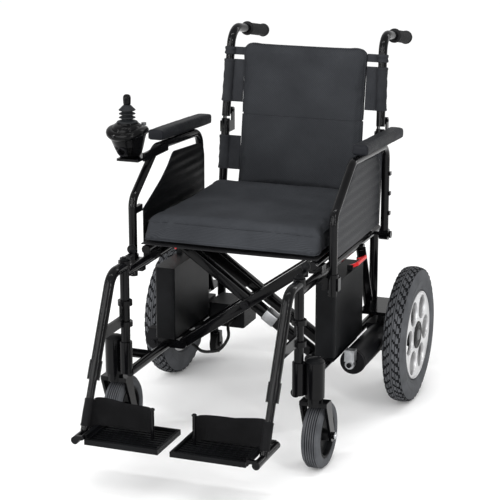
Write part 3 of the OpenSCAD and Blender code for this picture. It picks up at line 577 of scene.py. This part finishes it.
blanks = {"seat": (seat_blank(), 0.012), "back": (back_blank(), 0.009)}
for word, side in SIDES:
    blanks[word + "_pad"] = (pad_blank(side), 0.0022)
fill_all(list(blanks.values()), 4.0)
filled = {key: taken(thing) for key, (thing, cap) in blanks.items()}


def seam(bm, points, name, look, body, radius, push=0.0):
    """A stitched welt that lies on a padded piece, along points brought to its surface."""
    skin = BVHTree.FromBMesh(bm)
    route = []
    for at in points:
        near, normal = skin.find_nearest(Vector(at))[:2]
        route.append(near + normal * push)
    return piece(name, sweep(route, radius, 8), look, body)


seat_lo, seat_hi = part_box("seat_cushion")
FRONT_BULGE, FRONT_REACH, CROWN = 0.007, 0.05, 0.004
for v in filled["seat"].verts:
    front = max(0.0, min(1.0, (seat_lo[1] + FRONT_REACH - v.co.y) / FRONT_REACH))
    arch = math.cos(math.pi / 2 * v.co.x / seat_hi[0])
    v.co.y -= FRONT_BULGE * front * arch
    v.co.z += CROWN * arch * max(0.0, (v.co.z - seat_lo[2]) / (seat_hi[2] - seat_lo[2]))
    v.co.z = max(v.co.z, seat_lo[2] + 0.0003)  # flat on the sling
x_top = 0.2205
y_top = seat_lo[1] + 0.0335
WELT_R, WELT_PUSH = 0.0014, 0.0004
ring = [(x * x_top, y, seat_hi[2] - 0.003) for x, y in
        [(-1, seat_hi[1] - 0.02)] + [(-1, y_top + 0.4 * k / 8) for k in range(8, -1, -1)]
        + [(-1 + k / 8, y_top - 0.004) for k in range(0, 17)]
        + [(1, y_top + 0.4 * k / 8) for k in range(0, 9)] + [(1, seat_hi[1] - 0.02)]]
cushion_skin = filled["seat"].copy()
cushion = piece("seat_cushion_cover", filled["seat"], seat_cloth, "seat", "seat_cushion", 80,
                levels=1)
welt = seam(cushion_skin, ring, "seat_cushion_top_welt", seat_cloth, "seat", WELT_R, WELT_PUSH)
low_ring = [(x * 0.225, y, seat_lo[2] + 0.004) for x, y in
            [(-1, 0.2)] + [(-1, seat_lo[1] + 0.006 + 0.4 * k / 8) for k in range(7, 0, -1)]
            + [(-1 + k / 8, seat_lo[1]) for k in range(0, 17)]
            + [(1, seat_lo[1] + 0.006 + 0.4 * k / 8) for k in range(1, 8)] + [(1, 0.2)]]
welt_low = seam(cushion_skin, low_ring, "seat_cushion_bottom_welt", seat_cloth, "seat", WELT_R, WELT_PUSH)
cushion_skin.free()

# ---- sling under the cushion ----

sling_lo, sling_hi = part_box("seat_sling")
SLING_T = 0.0016
bm = bmesh.new()
bmesh.ops.create_grid(bm, x_segments=60, y_segments=44, size=0.5)
for v in bm.verts:
    across, along = 2 * v.co.x, v.co.y + 0.5
    sag = 0.0018 * (1 - across ** 2) * (1 + 0.12 * math.sin(along * 17 + across * 3))
    v.co = (across * sling_hi[0], sling_lo[1] + along * (sling_hi[1] - sling_lo[1]),
            sling_hi[2] - 0.0001 - sag)
sling = piece("seat_sling_cloth", thickened(bm, (0, 0, -SLING_T)), sling_nylon, "seat",
              "seat_sling", 50)

# ---- back upholstery: one filled panel, cut at the back hinge ----

back_parts = (("back_lower_cover", "right_frame", "back_lower", -1),
              ("back_upper_cover", "right_back", "back_upper", 1))
back_soft = []
back_skin = filled["back"].copy()
for name, body, node, way in back_parts:
    bm = filled["back"].copy()
    bmesh.ops.bisect_plane(bm, geom=list(bm.verts) + list(bm.edges) + list(bm.faces), dist=1e-6,
                           plane_co=(0, 0, HINGE_Z + way * 0.0003), plane_no=(0, 0, -way),
                           clear_outer=True, clear_inner=False)
    bmesh.ops.holes_fill(bm, edges=[e for e in bm.edges if e.is_boundary], sides=0)
    bmesh.ops.recalc_face_normals(bm, faces=bm.faces)
    cover = piece(name, bm, back_cloth, body, node, 50)
    back_soft.append(cover)
filled["back"].free()


def lean_point(x, depth, z):
    """A point on the back, depth behind the line of the canes."""
    return (x, cane_y(z) + depth * math.cos(RAKE), z - depth * math.sin(RAKE))


def edge_route(depth, low, high):
    """Lines up both edges of the back, joined over the top if they reach it."""
    half, corner = 0.1705, 0.022
    up = [(low + (high - 0.02 - low) * k / 8) for k in range(9)]
    points = [lean_point(-half, depth, z) for z in up]
    if high > 0.8:
        points += [lean_point(-half + 0.007, depth, high - 0.008), lean_point(-half + corner, depth, high)]
        flat = half - corner
        points += [lean_point(-flat + 2 * flat * k / 8, depth, high) for k in range(1, 8)]
        points += [lean_point(flat, depth, high), lean_point(half - 0.007, depth, high - 0.008)]
        points += [lean_point(half, depth, z) for z in reversed(up)]
        return [points]
    return [points, [lean_point(half, depth, z) for z in up]]


for name, body, node, way in back_parts:
    low, high = (0.505, HINGE_Z + 0.018) if way < 0 else (HINGE_Z + 0.001, 0.8785)
    for depth, word in ((-0.0085, "front"), (0.0085, "rear")):
        for number, route in enumerate(edge_route(depth, low, high)):
            back_soft.append(seam(back_skin, route, f"{node}_{word}_piping_{number}", back_cloth, body,
                                  0.0021, 0.0005))
back_skin.free()


def cane_at(z, upper, side):
    """The middle of a cane at height z; the upper cane leans in."""
    x = 0.207 - (0.006 * (z - 0.678) / 0.227 if upper else 0)
    return Vector((side * x, cane_y(z), z))


def sleeve(name, low, high, upper, side, body):
    """A sewn sleeve round a cane, slightly creased, with the web that joins it to the panel."""
    a, b = cane_at(low, upper, side), cane_at(high, upper, side)
    length = (b - a).length
    creases = [(0.0136 + 0.0006 * math.sin(k * 1.9), 0.002 + (length - 0.004) * k / 12) for k in range(13)]
    bm = turned([(0.0118, 0), (0.0128, 0.0005)] + creases + [(0.0128, length - 0.0005), (0.0118, length)],
                toward(b - a, a), 28)
    web = sorted((side * 0.163, a.x))
    strip = block((web[0], -0.0012, 0), (web[1], 0.0012, length), 0.0005, 1)
    placed(strip, Matrix.Translation((0, cane_y(low), low)) @ Matrix.Rotation(-RAKE, 4, "X"))
    web_mesh = bpy.data.meshes.new("web")
    strip.to_mesh(web_mesh)
    strip.free()
    bm.from_mesh(web_mesh)
    bpy.data.meshes.remove(web_mesh)
    made = piece(name, bm, sleeve_cloth, body, (), 40)
    # Hems at both ends
    for word, at in (("low", 0.004), ("high", length - 0.004)):
        hem = turned([(0.0142, at - 0.003), (0.0148, at - 0.0024), (0.0148, at + 0.0024),
                      (0.0142, at + 0.003)], toward(b - a, a), 28)
        back_soft.append(piece(f"{name}_{word}_hem", hem, sleeve_cloth, body))
    back_soft.append(made)


for word, side in SIDES:
    sleeve(f"{word}_top_sleeve", 0.835, 0.855, True, side, f"{word}_back")
    sleeve(f"{word}_middle_sleeve", 0.716, 0.824, True, side, f"{word}_back")
    sleeve(f"{word}_lower_sleeve", 0.5435, 0.630, False, side, "right_frame" if side < 0 else "left_frame")

# ---- arm pads and skirts ----

for word, side in SIDES:
    body = f"{word}_armrest"
    bm = filled[word + "_pad"]
    skin = bm.copy()
    cover = piece(f"{word}_arm_pad_cover", bm, pad_vinyl, body, f"{word}_arm_pad", 80, levels=1)
    for number, x in enumerate((-0.0205, 0.0205)):
        route = [PAD_PLACE @ Vector((x, 0.006 + 0.32 * k / 10, 0.003)) for k in range(11)]
        seam(skin, [(side * p.x, p.y, p.z) for p in route], f"{word}_arm_pad_edge_{number}", pad_vinyl, body,
             0.0008)
    skin.free()

SKIRT_LOW, SKIRT_FRONT, SKIRT_REAR, RIB_PITCH = 0.451, -0.150, 0.238, 0.0235


def skirt_top(y):
    """How tall the skirt is at y."""
    outline = [(-0.150, 0.088), (-0.095, 0.112), (-0.039, 0.138), (0, 0.162), (0.026, 0.184), (0.038, 0.1896),
               (0.198, 0.1787), (0.216, 0.1745), (0.228, 0.1665), (0.235, 0.155), (0.238, 0.138)]
    for (y0, h0), (y1, h1) in zip(outline, outline[1:]):
        if y <= y1:
            return h0 + (h1 - h0) * max(0.0, (y - y0)) / (y1 - y0)
    return outline[-1][1]


skirt_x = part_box("left_skirt_panel")[0][0]
for word, side in SIDES:
    bm = bmesh.new()
    bmesh.ops.create_grid(bm, x_segments=96, y_segments=80, size=0.5)
    for v in bm.verts:
        y = SKIRT_FRONT + 0.0005 + (v.co.x + 0.5) * (SKIRT_REAR - SKIRT_FRONT - 0.001)
        h = 0.0005 + (v.co.y + 0.5) * (skirt_top(y) - 0.001)
        ease = max(0.0, min(1.0, min(y - SKIRT_FRONT, SKIRT_REAR - y, h, skirt_top(y) - h) / 0.014))
        wave = 0.0009 * (1 + math.cos(h * 2 * math.pi / RIB_PITCH)) * ease
        v.co = (skirt_x + 0.0018 + wave, y, SKIRT_LOW + h)
    thickened(bm, (-0.0016, 0, 0))
    for f in bm.faces:
        f.material_index = 1 if f.normal.x < -0.3 else 0
    piece(f"{word}_ribbed_skirt", mirrored(bm, side), [ribbed_grey, moulded_black], f"{word}_armrest",
          f"{word}_skirt_panel", 50)

# ---- drive wheels ----

AXLE = {side: Vector((side * 0.315, 0.243, 0.171)) for word, side in SIDES}
SIX_WAYS = [math.radians(60 * k + 30) for k in range(6)]
DISC_OUT = Matrix.Translation((0, 0, 0.0155))


def drive_tyre():
    """The carcass with its tread cut into a centre band, two rows of blocks and the shoulder lugs."""
    columns, column_w, pitch, blocks = 11, 0.0039, 5, 43
    tread = [(0.1615 + 0.0068 * math.cos((k - 5.5) / 5.5 * 1.25), (k - 5.5) * column_w)
             for k in range(columns + 1)]
    wall = [(0.1121, 0.0195), (0.1150, 0.0243), (0.1215, 0.0268), (0.1225, 0.0262), (0.1300, 0.0276),
            (0.1390, 0.0279), (0.1400, 0.0272), (0.1480, 0.0270), (0.1545, 0.0248)]
    profile = [(r, -h) for r, h in wall] + tread + [(r, h) for r, h in reversed(wall)]
    bm = bmesh.new()
    verts = [bm.verts.new((r, 0, h)) for r, h in profile]
    edges = [bm.edges.new(pair) for pair in zip(verts, verts[1:])] + [bm.edges.new((verts[-1], verts[0]))]
    steps = pitch * blocks
    bmesh.ops.spin(bm, geom=verts + edges, cent=(0, 0, 0), axis=(0, 0, 1), angle=2 * math.pi, steps=steps,
                   use_merge=True, use_duplicate=False)
    bmesh.ops.remove_doubles(bm, verts=bm.verts, dist=1e-6)
    bmesh.ops.recalc_face_normals(bm, faces=bm.faces)
    grid = {}
    for f in bm.faces:
        c = f.calc_center_median()
        if math.hypot(c.x, c.y) > 0.156 and abs(c.z) < 0.0215:
            step = int((math.degrees(math.atan2(c.y, c.x)) % 360) / 360 * steps)
            grid[(step, min(columns - 1, max(0, round(c.z / column_w + 5))))] = f
    raised, grooves = set(), set()
    for mirror in (1, -1):
        for n in range(blocks):
            at = n * pitch + (2 if mirror < 0 else 0)
            inner = [(at + k, 1) for k in (0, 1, 2, 3)] + [(at + k, 2) for k in (1, 2, 3, 4)]
            outer = [(at + k, 3) for k in (2, 3, 4, 5)] + [(at + k, 4) for k in (3, 4, 5)]
            lug = [(at + k, 5) for k in (0, 1, 2)]
            for cells, depth in ((inner, 0.0026), (outer, 0.0026), (lug, 0.0022)):
                faces = [grid[(s % steps, 5 + mirror * c)] for s, c in cells]
                raised.update(faces)
                flanks = bmesh.ops.inset_region(bm, faces=faces, thickness=0.0008, depth=depth,
                                                use_even_offset=True)
                grooves.update(flanks["faces"])
    band = [grid[(s, 5)] for s in range(steps)]
    raised.update(band)
    flanks = bmesh.ops.inset_region(bm, faces=band, thickness=0.0004, depth=0.0026, use_even_offset=True)
    grooves.update(flanks["faces"])
    # The groove walls, the groove floors and the unraised tread get the painted shade.
    for f in (set(grid.values()) - raised) | grooves:
        f.material_index = 1
    return bm


def rim_disc():
    """The pressed disc with its six round holes, made by cutting a plate."""
    plate = turned([(0.0335, 0.0), (0.1078, 0.0), (0.1078, 0.0065), (0.1065, 0.0075), (0.0335, 0.0075),
                    (0.0335, 0.0)], Matrix.Identity(4), 120)
    cutter = bmesh.new()
    for a in SIX_WAYS:
        turned([(0, -0.01), (0.0305, -0.01), (0.0305, 0.02), (0, 0.02)],
               Matrix.Translation((0.0735 * math.cos(a), 0.0735 * math.sin(a), 0)), 48, cutter)
    things = [as_object("cut", bm) for bm in (plate, cutter)]
    cut = things[0].modifiers.new("holes", "BOOLEAN")
    cut.operation = "DIFFERENCE"
    cut.object = things[1]
    cut.solver = "EXACT"
    result = applied(things[0])
    bm = bmesh.new()
    bm.from_mesh(result)
    for thing in things:
        bpy.data.objects.remove(thing)
    bpy.data.meshes.remove(result)
    bmesh.ops.remove_doubles(bm, verts=bm.verts, dist=1e-6)
    rims = [e for e in bm.edges if len(e.link_faces) == 2 and e.calc_face_angle(0) > math.radians(60)
            and (e.verts[0].co + e.verts[1].co).z > 0.01]
    return rounded(bm, rims, 0.0012, 2)


def outward(side, place):
    """Local z points away from the chair along the axle."""
    return Matrix.Translation(place) @ Matrix.Rotation(math.radians(90 * side), 4, "Y")


for word, side in SIDES:
    body = f"{word}_drive_wheel"
    hub = AXLE[side]
    piece(f"{word}_drive_tyre_tread", placed(drive_tyre(), outward(side, hub)), [tyre_grey, groove_painted_shade],
          body, f"{word}_drive_tyre", 32)
    piece(f"{word}_rim_disc", placed(rim_disc(), outward(side, hub) @ DISC_OUT), satin_silver, body,
          f"{word}_drive_rim", 30)
    lip = [(0.1072, 0.0170), (0.1078, 0.0235), (0.1092, 0.0248), (0.1108, 0.0240), (0.1119, 0.0195),
           (0.1119, -0.018), (0.1090, -0.019), (0.1060, -0.018), (0.1045, -0.010), (0.1045, 0.015),
           (0.1072, 0.0170)]
    piece(f"{word}_rim_barrel", turned(lip, outward(side, hub), 96), satin_silver, body)
    hub_profile = [(0, -0.022), (0.0255, -0.022), (0.0335, 0.010), (0.0345, 0.0235), (0.0336, 0.0250),
                   (0.0305, 0.0256), (0.0275, 0.0246), (0.0255, 0.0242), (0.0245, 0.0250), (0.0175, 0.0256),
                   (0.0168, 0.0250), (0, 0.0250)]
    piece(f"{word}_wheel_hub", turned(hub_profile, outward(side, hub), 48), moulded_black, body)
    cap = [(0, 0.0285), (0.0070, 0.0283), (0.0112, 0.0277), (0.0136, 0.0266), (0.0142, 0.0250), (0, 0.0250)]
    piece(f"{word}_wheel_cap", turned(cap, outward(side, hub), 40), cap_grey, body)
    bm = bmesh.new()
    for a in SIX_WAYS:
        bolt(bm, hub + Vector((side * 0.0228, 0.044 * math.cos(a), 0.044 * math.sin(a))), (side, 0, 0),
             0.0026, 0.0016)
    turned([(0.0262, 0.0), (0.0262, -0.0035), (0.0405, -0.0035), (0.0405, 0.0)],
           outward(side, hub) @ DISC_OUT, 48, bm)
    piece(f"{word}_rim_bolts", bm, zinc, body)
    stub = turned([(0, -0.056), (0.0079, -0.056), (0.0079, -0.022), (0, -0.022)], outward(side, hub), 24)
    piece(f"{word}_axle_stub", stub, zinc, body)

# ---- casters ----

CASTER_X = 0.245
for word, side in SIDES:
    centre = Vector((side * CASTER_X, -0.260, 0.078))
    body = f"{word}_caster_wheel"
    ribs = [(0.0541, -0.0190), (0.0560, -0.0206), (0.0660, -0.0222), (0.0710, -0.0205), (0.0745, -0.0172)]
    crown = []
    for k in range(6):
        h = -0.0148 + 0.0052 * k
        crown += [(0.0752, h - 0.0004), (0.0752, h), (0.0774, h + 0.0006), (0.0779, h + 0.0018),
                  (0.0774, h + 0.0030), (0.0752, h + 0.0036)]
    profile = ribs + crown + [(r, -h) for r, h in reversed(ribs)] + [ribs[0]]
    bm = turned(profile, outward(side, centre), 96)
    # The groove floors between the crown ribs get the painted shade.
    for f in bm.faces:
        c = f.calc_center_median() - centre
        if abs(c.x) < 0.0152 and 0.074 < math.hypot(c.y, c.z) < 0.0757:
            f.material_index = 1
    piece(f"{word}_caster_tyre_ribbed", bm, [caster_grey, groove_painted_shade], body,
          f"{word}_caster_tyre", 40)
    half_hub = [(0.0042, -0.0245), (0.0110, -0.0245), (0.0125, -0.0225), (0.0135, -0.0120), (0.0150, -0.0070),
                (0.0430, -0.0060), (0.0465, -0.0085), (0.0480, -0.0185), (0.0500, -0.0200), (0.0525, -0.0195),
                (0.0539, -0.0180)]
    hub_profile = half_hub + [(r, -h) for r, h in reversed(half_hub)] + [half_hub[0]]
    piece(f"{word}_caster_hub_dished", turned(hub_profile, outward(side, centre), 64), moulded_black, body,
          f"{word}_caster_hub", 40)
    bm = bmesh.new()
    for way in (-1, 1):
        bolt(bm, centre + Vector((way * 0.0376, 0, 0)), (way, 0, 0), 0.0062, 0.0042)
    piece(f"{word}_caster_axle_bolts", bm, zinc, f"{word}_caster")
    cap = [(0, 0.0085), (0.009, 0.0078), (0.016, 0.0055), (0.0205, 0.0018), (0.0222, 0), (0, 0)]
    piece(f"{word}_caster_housing_cap", turned(cap, Matrix.Translation((side * CASTER_X, -0.298, 0.264)), 40),
          moulded_black, f"{word}_frame")

# ---- push grips ----

GRIP_Z = 0.905
for word, side in SIDES:
    start = Vector((side * 0.201, cane_y(GRIP_Z), GRIP_Z))
    end = Vector((side * 0.198, cane_y(GRIP_Z) + 0.2224, 0.867))
    d = (end - start).normalized()
    profile = [(0.0113, 0), (0.0168, 0), (0.0182, 0.0012), (0.0184, 0.0032), (0.0172, 0.0048),
               (0.0152, 0.0056)]
    for k in range(14):
        h = 0.0085 + 0.0076 * k
        profile += [(0.0146, h), (0.0153, h + 0.0016), (0.0155, h + 0.0034), (0.0153, h + 0.0052),
                    (0.0146, h + 0.0066)]
    profile += [(0.0158, 0.117), (0.0172, 0.1188), (0.0176, 0.1215), (0.0170, 0.1245), (0.0140, 0.1262),
                (0, 0.1268)]
    piece(f"{word}_push_grip_ribbed", turned(profile, toward(d, end - d * 0.122), 40), grip_rubber,
          f"{word}_back", f"{word}_push_grip", 50)

# ---- cross brace ----

PIVOT_X, PIVOT_Z = 0.163, 0.192
RAIL_X, RAIL_Z = 0.205, 0.454
ANGLE = math.atan((RAIL_Z - PIVOT_Z) / (RAIL_X + PIVOT_X))
MID_Z = PIVOT_Z + (RAIL_Z - PIVOT_Z) * PIVOT_X / (RAIL_X + PIVOT_X)
LOW, UP = PIVOT_X / math.cos(ANGLE), RAIL_X / math.cos(ANGLE)
EYE_R, ARM_HALF = 0.0051, 0.0125
eye = [(EYE_R, -ARM_HALF), (0.0117, -ARM_HALF), (ARM_HALF, -0.0117), (ARM_HALF, 0.0117), (0.0117, ARM_HALF),
       (EYE_R, ARM_HALF), (EYE_R, -ARM_HALF)]


def brace_place(y, slope):
    """From the bolt of the cross, along an arm."""
    return Matrix.Translation((0, y, MID_Z)) @ Matrix.Rotation(slope, 4, "Y")


for word, hand, ys in (("brace_a", 1, (-0.073, 0.060)), ("brace_b", -1, (-0.047, 0.034))):
    hinge_way = Matrix.Translation((-hand * LOW, 0, 0)) @ Matrix.Rotation(math.radians(90), 4, "X")
    for number, y in enumerate(ys):
        reach = (-LOW + 0.004, UP) if hand > 0 else (-UP, LOW - 0.004)
        bm = block((reach[0], -ARM_HALF, -ARM_HALF), (reach[1], ARM_HALF, ARM_HALF), 0.0028, 3)
        turned(eye, hinge_way, 32, bm)
        piece(f"{word}_arm_{number}", placed(bm, brace_place(y, -hand * ANGLE)), gloss_black, word,
              word if number == 0 else (), 35)
    rail = turned([(0, 0), (0.0095, 0), (0.011, 0.0012), (0.011, 0.4588), (0.0095, 0.46), (0, 0.46)],
                  toward((0, 1, 0), (hand * RAIL_X, -0.202, RAIL_Z)), 32)
    piece(f"{word}_seat_rail", rail, gloss_black, word)
bm = block((-UP + 0.04, -0.047, -0.002), (-0.034, 0.034, 0.002), 0.0008, 2)
piece("brace_web_plate", placed(bm, brace_place(0, ANGLE)), satin_black, "brace_b")
bm = block((0.045, -0.0145, -0.0145), (0.080, 0.0145, 0.0145), 0.003, 3)
for h in (-0.0146, 0.0146):
    bolt(bm, (0.055, 0, h), (0, 0, h), 0.003, 0.002)
piece("brace_silver_sleeve", placed(bm, brace_place(-0.047, ANGLE)), sleeve_metal, "brace_b",
      (), 35)

# ---- hand control ----

POD = Vector((-0.265, -0.160, 0.662))
ring = []
for k in range(28):
    a = 2 * math.pi * k / 28
    x = 0.0362 * math.copysign(abs(math.cos(a)) ** 0.8, math.cos(a))
    y = 0.0452 * math.copysign(abs(math.sin(a)) ** 0.85, math.sin(a))
    ring.append(POD + Vector((x, y, 0.0605 + 0.0040 * math.cos(2 * a))))
bm = sweep(ring, 0.0106, 20, closed=True)
piece("pod_hand_rest", bm, pod_black, "right_armrest", "pod_housing", 60)
dome = [(0.0415, 0.056), (0.0412, 0.063), (0.0400, 0.0685), (0.0375, 0.0735), (0.0340, 0.0772),
        (0.0300, 0.0796), (0.0268, 0.0808), (0.0262, 0.0828), (0.0190, 0.0828), (0.0185, 0.056)]
bm = turned(dome, Matrix.Translation(POD), 56)
bmesh.ops.scale(bm, vec=(0.93, 1.05, 1), space=Matrix.Translation(-POD),
                verts=[v for v in bm.verts if v.co.z < POD.z + 0.079])
piece("pod_dome", bm, pod_black, "right_armrest", (), 50)
bm = bmesh.new()
bmesh.ops.create_circle(bm, segments=56, radius=0.044, cap_ends=False)
bmesh.ops.scale(bm, vec=(1, 1.17, 1), verts=bm.verts)
bmesh.ops.translate(bm, vec=(0, 0, 0.060), verts=bm.verts)
ends = list(bm.edges)
# Height, share of the ring above and shift back, from the rim down
shell_rings = ((0.0560, 0.985, 0.0), (0.0515, 0.955, 0.0012), (0.0410, 0.925, 0.0020),
               (0.0300, 0.915, 0.0022), (0.0190, 0.905, 0.0022), (0.0090, 0.885, 0.0022),
               (0.0015, 0.83, 0.0010), (0.0, 0.85, 0.0))
centre_y = 0.0
for z, share, shift in shell_rings:
    made = bmesh.ops.extrude_edge_only(bm, edges=ends)
    fresh = new_verts(made)
    ends = [e for e in made["geom"] if isinstance(e, bmesh.types.BMEdge)]
    bmesh.ops.scale(bm, vec=(share, share, 1), space=Matrix.Translation((0, -centre_y, 0)), verts=fresh)
    bmesh.ops.translate(bm, vec=(0, shift, z - fresh[0].co.z), verts=fresh)
    centre_y += shift
bmesh.ops.holes_fill(bm, edges=ends, sides=0)
bmesh.ops.recalc_face_normals(bm, faces=bm.faces)
slots = []
for f in bm.faces:
    c = f.calc_center_median()
    a = math.degrees(math.atan2(c.x, -c.y))
    if 22 < abs(a) < 50 and (0.009 < c.z < 0.030 or 0.0515 < c.z < 0.0560):
        slots.append(f)
bmesh.ops.inset_individual(bm, faces=slots, thickness=0.0008, depth=0)
bmesh.ops.inset_individual(bm, faces=slots, thickness=0.0001, depth=-0.0022)
# The slot floors get the painted shade.
for f in slots:
    f.material_index = 1
bmesh.ops.translate(bm, vec=POD, verts=bm.verts)
piece("pod_lower_shell", bm, [pod_black, hollow_painted_shade], "right_armrest", (), 35)
SOCKET, SOCKET_WAY = Vector((0, -0.034, 0.0195)), (0, -1, -0.12)
mouth = [(0.0078, -0.012), (0.0080, 0.0008), (0.0088, 0.0018), (0.0104, 0.0016), (0.0112, 0.0),
         (0.0112, -0.010)]
piece("charger_socket_collar", turned(mouth, toward(SOCKET_WAY, POD + SOCKET), 32), satin_black,
      "right_armrest")
bm = turned([(0, -0.008), (0.0079, -0.008)], toward(SOCKET_WAY, POD + SOCKET), 32)
for k in range(3):
    a = math.radians(120 * k + 90)
    pin = POD + SOCKET + Vector((0.0038 * math.cos(a), 0, 0.0038 * math.sin(a)))
    turned([(0.0014, -0.0078), (0.0014, -0.003), (0, -0.003)], toward(SOCKET_WAY, pin), 10, bm)
# The socket floor and its pins get the painted shade.
piece("charger_socket_pins", bm, [hollow_painted_shade], "right_armrest")
bellows = [(0.0180, 0.0), (0.0240, 0.0), (0.0244, 0.0012), (0.0236, 0.0026), (0.0180, 0.0048),
           (0.0128, 0.0064), (0.0124, 0.0076),
           (0.0170, 0.0100), (0.0194, 0.0108), (0.0197, 0.0115), (0.0192, 0.0123), (0.0150, 0.0144),
           (0.0123, 0.0158), (0.0122, 0.0168),
           (0.0170, 0.0190), (0.0192, 0.0197), (0.0195, 0.0204), (0.0190, 0.0212), (0.0150, 0.0233),
           (0.0122, 0.0246), (0.0122, 0.0256),
           (0.0172, 0.0276), (0.0196, 0.0284), (0.0199, 0.0292), (0.0192, 0.0304), (0.0150, 0.0345),
           (0.0110, 0.0385), (0.0080, 0.0412), (0.0066, 0.0420), (0.0046, 0.0420)]
piece("joystick_bellows", turned(bellows, Matrix.Translation((POD.x, POD.y, 0.7452)), 48), boot_rubber,
      "right_armrest", "joystick_boot", 70)
knob = [(0.0040, 0.7300), (0.0040, 0.7868), (0.0078, 0.7870), (0.0087, 0.7880), (0.0090, 0.7930),
        (0.0092, 0.7990), (0.0092, 0.8030), (0.0086, 0.8062), (0.0070, 0.8089), (0.0046, 0.8105),
        (0.0020, 0.8111), (0, 0.8112)]
piece("joystick_knob", turned(knob, Matrix.Translation((POD.x, POD.y, 0)), 40), pod_black, "joystick_stick",
      "joystick_stick", 50)

# ---- footrests ----

FOOT_END = Vector((0.211, -0.539, 0.120))
TUBE_UP = Vector((0, 0.437, 0.8995))
BAND_H = 0.057
BAND_LOW = 0.1335


def band_point(angle, height, out=0.0):
    """A point on the heel band: from the tube at angle 0, round behind the heel, to the inner post."""
    middle, reach, depth = Vector((0.1265, -0.531, 0)), 0.0741 + out, 0.040 + out
    rise = height * BAND_H
    lean = rise * TUBE_UP.y / TUBE_UP.z * max(0.0, math.cos(angle))
    belly = 0.0014 * math.sin(math.pi * height) * math.sin(angle)
    return Vector((middle.x + (reach + belly) * math.cos(angle),
                   middle.y + (depth + belly) * math.sin(angle) + lean,
                   BAND_LOW + rise - 0.0072 * math.sin(angle) ** 2))


for word, side in SIDES:
    parts = []
    bm = bmesh.new()
    bmesh.ops.create_grid(bm, x_segments=64, y_segments=10, size=0.5)
    for v in bm.verts:
        v.co = band_point(math.pi * (v.co.x + 0.5), v.co.y + 0.5)
    bmesh.ops.solidify(bm, geom=list(bm.faces), thickness=0.0018)
    bmesh.ops.recalc_face_normals(bm, faces=bm.faces)
    strap = piece(f"{word}_heel_band", mirrored(bm, side), webbing, f"{word}_footrest",
                  f"{word}_heel_strap", 50)
    parts.append(strap)
    for number, height in enumerate((0.06, 0.94)):
        route = [band_point(math.pi * k / 24, height, 0.0014) for k in range(25)]
        parts.append(piece(f"{word}_heel_band_stitch_{number}", mirrored(sweep(route, 0.0007, 6), side),
                           webbing, f"{word}_footrest"))
    for part in parts:
        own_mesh(part)
    # Cuff sewn round the footrest tube
    foot = FOOT_END + TUBE_UP * ((BAND_LOW - FOOT_END.z) / TUBE_UP.z)
    cuff = turned([(0.0093, 0), (0.0108, 0.0004), (0.0114, 0.003), (0.0108, 0.006), (0.0111, 0.03),
                   (0.0108, 0.056), (0.0114, 0.059), (0.0108, 0.0618), (0.0093, 0.0622)],
                  toward(TUBE_UP, foot), 32)
    piece(f"{word}_heel_band_cuff", mirrored(cuff, side), webbing, f"{word}_footrest", (), 50)
    post = turned([(0, 0), (0.0042, 0), (0.0042, 0.066), (0.0058, 0.0664), (0.0058, 0.0690),
                   (0.0040, 0.0706), (0, 0.0708)], Matrix.Translation((0.0492, -0.531, 0.1255)), 24)
    piece(f"{word}_heel_band_post", mirrored(post, side), gloss_black, f"{word}_footplate",
          (), 40)

# ---- floor ----

bm = bmesh.new()
bmesh.ops.create_grid(bm, x_segments=2, y_segments=2, size=12)
floor = piece("floor", bm, pale_floor, None)

# ---- the soft pieces that do not ride on the left side each get their own copy of their mesh ----

for soft in back_soft + [sling, cushion, welt, welt_low]:
    if soft["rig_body"].startswith("left"):
        continue
    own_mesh(soft)
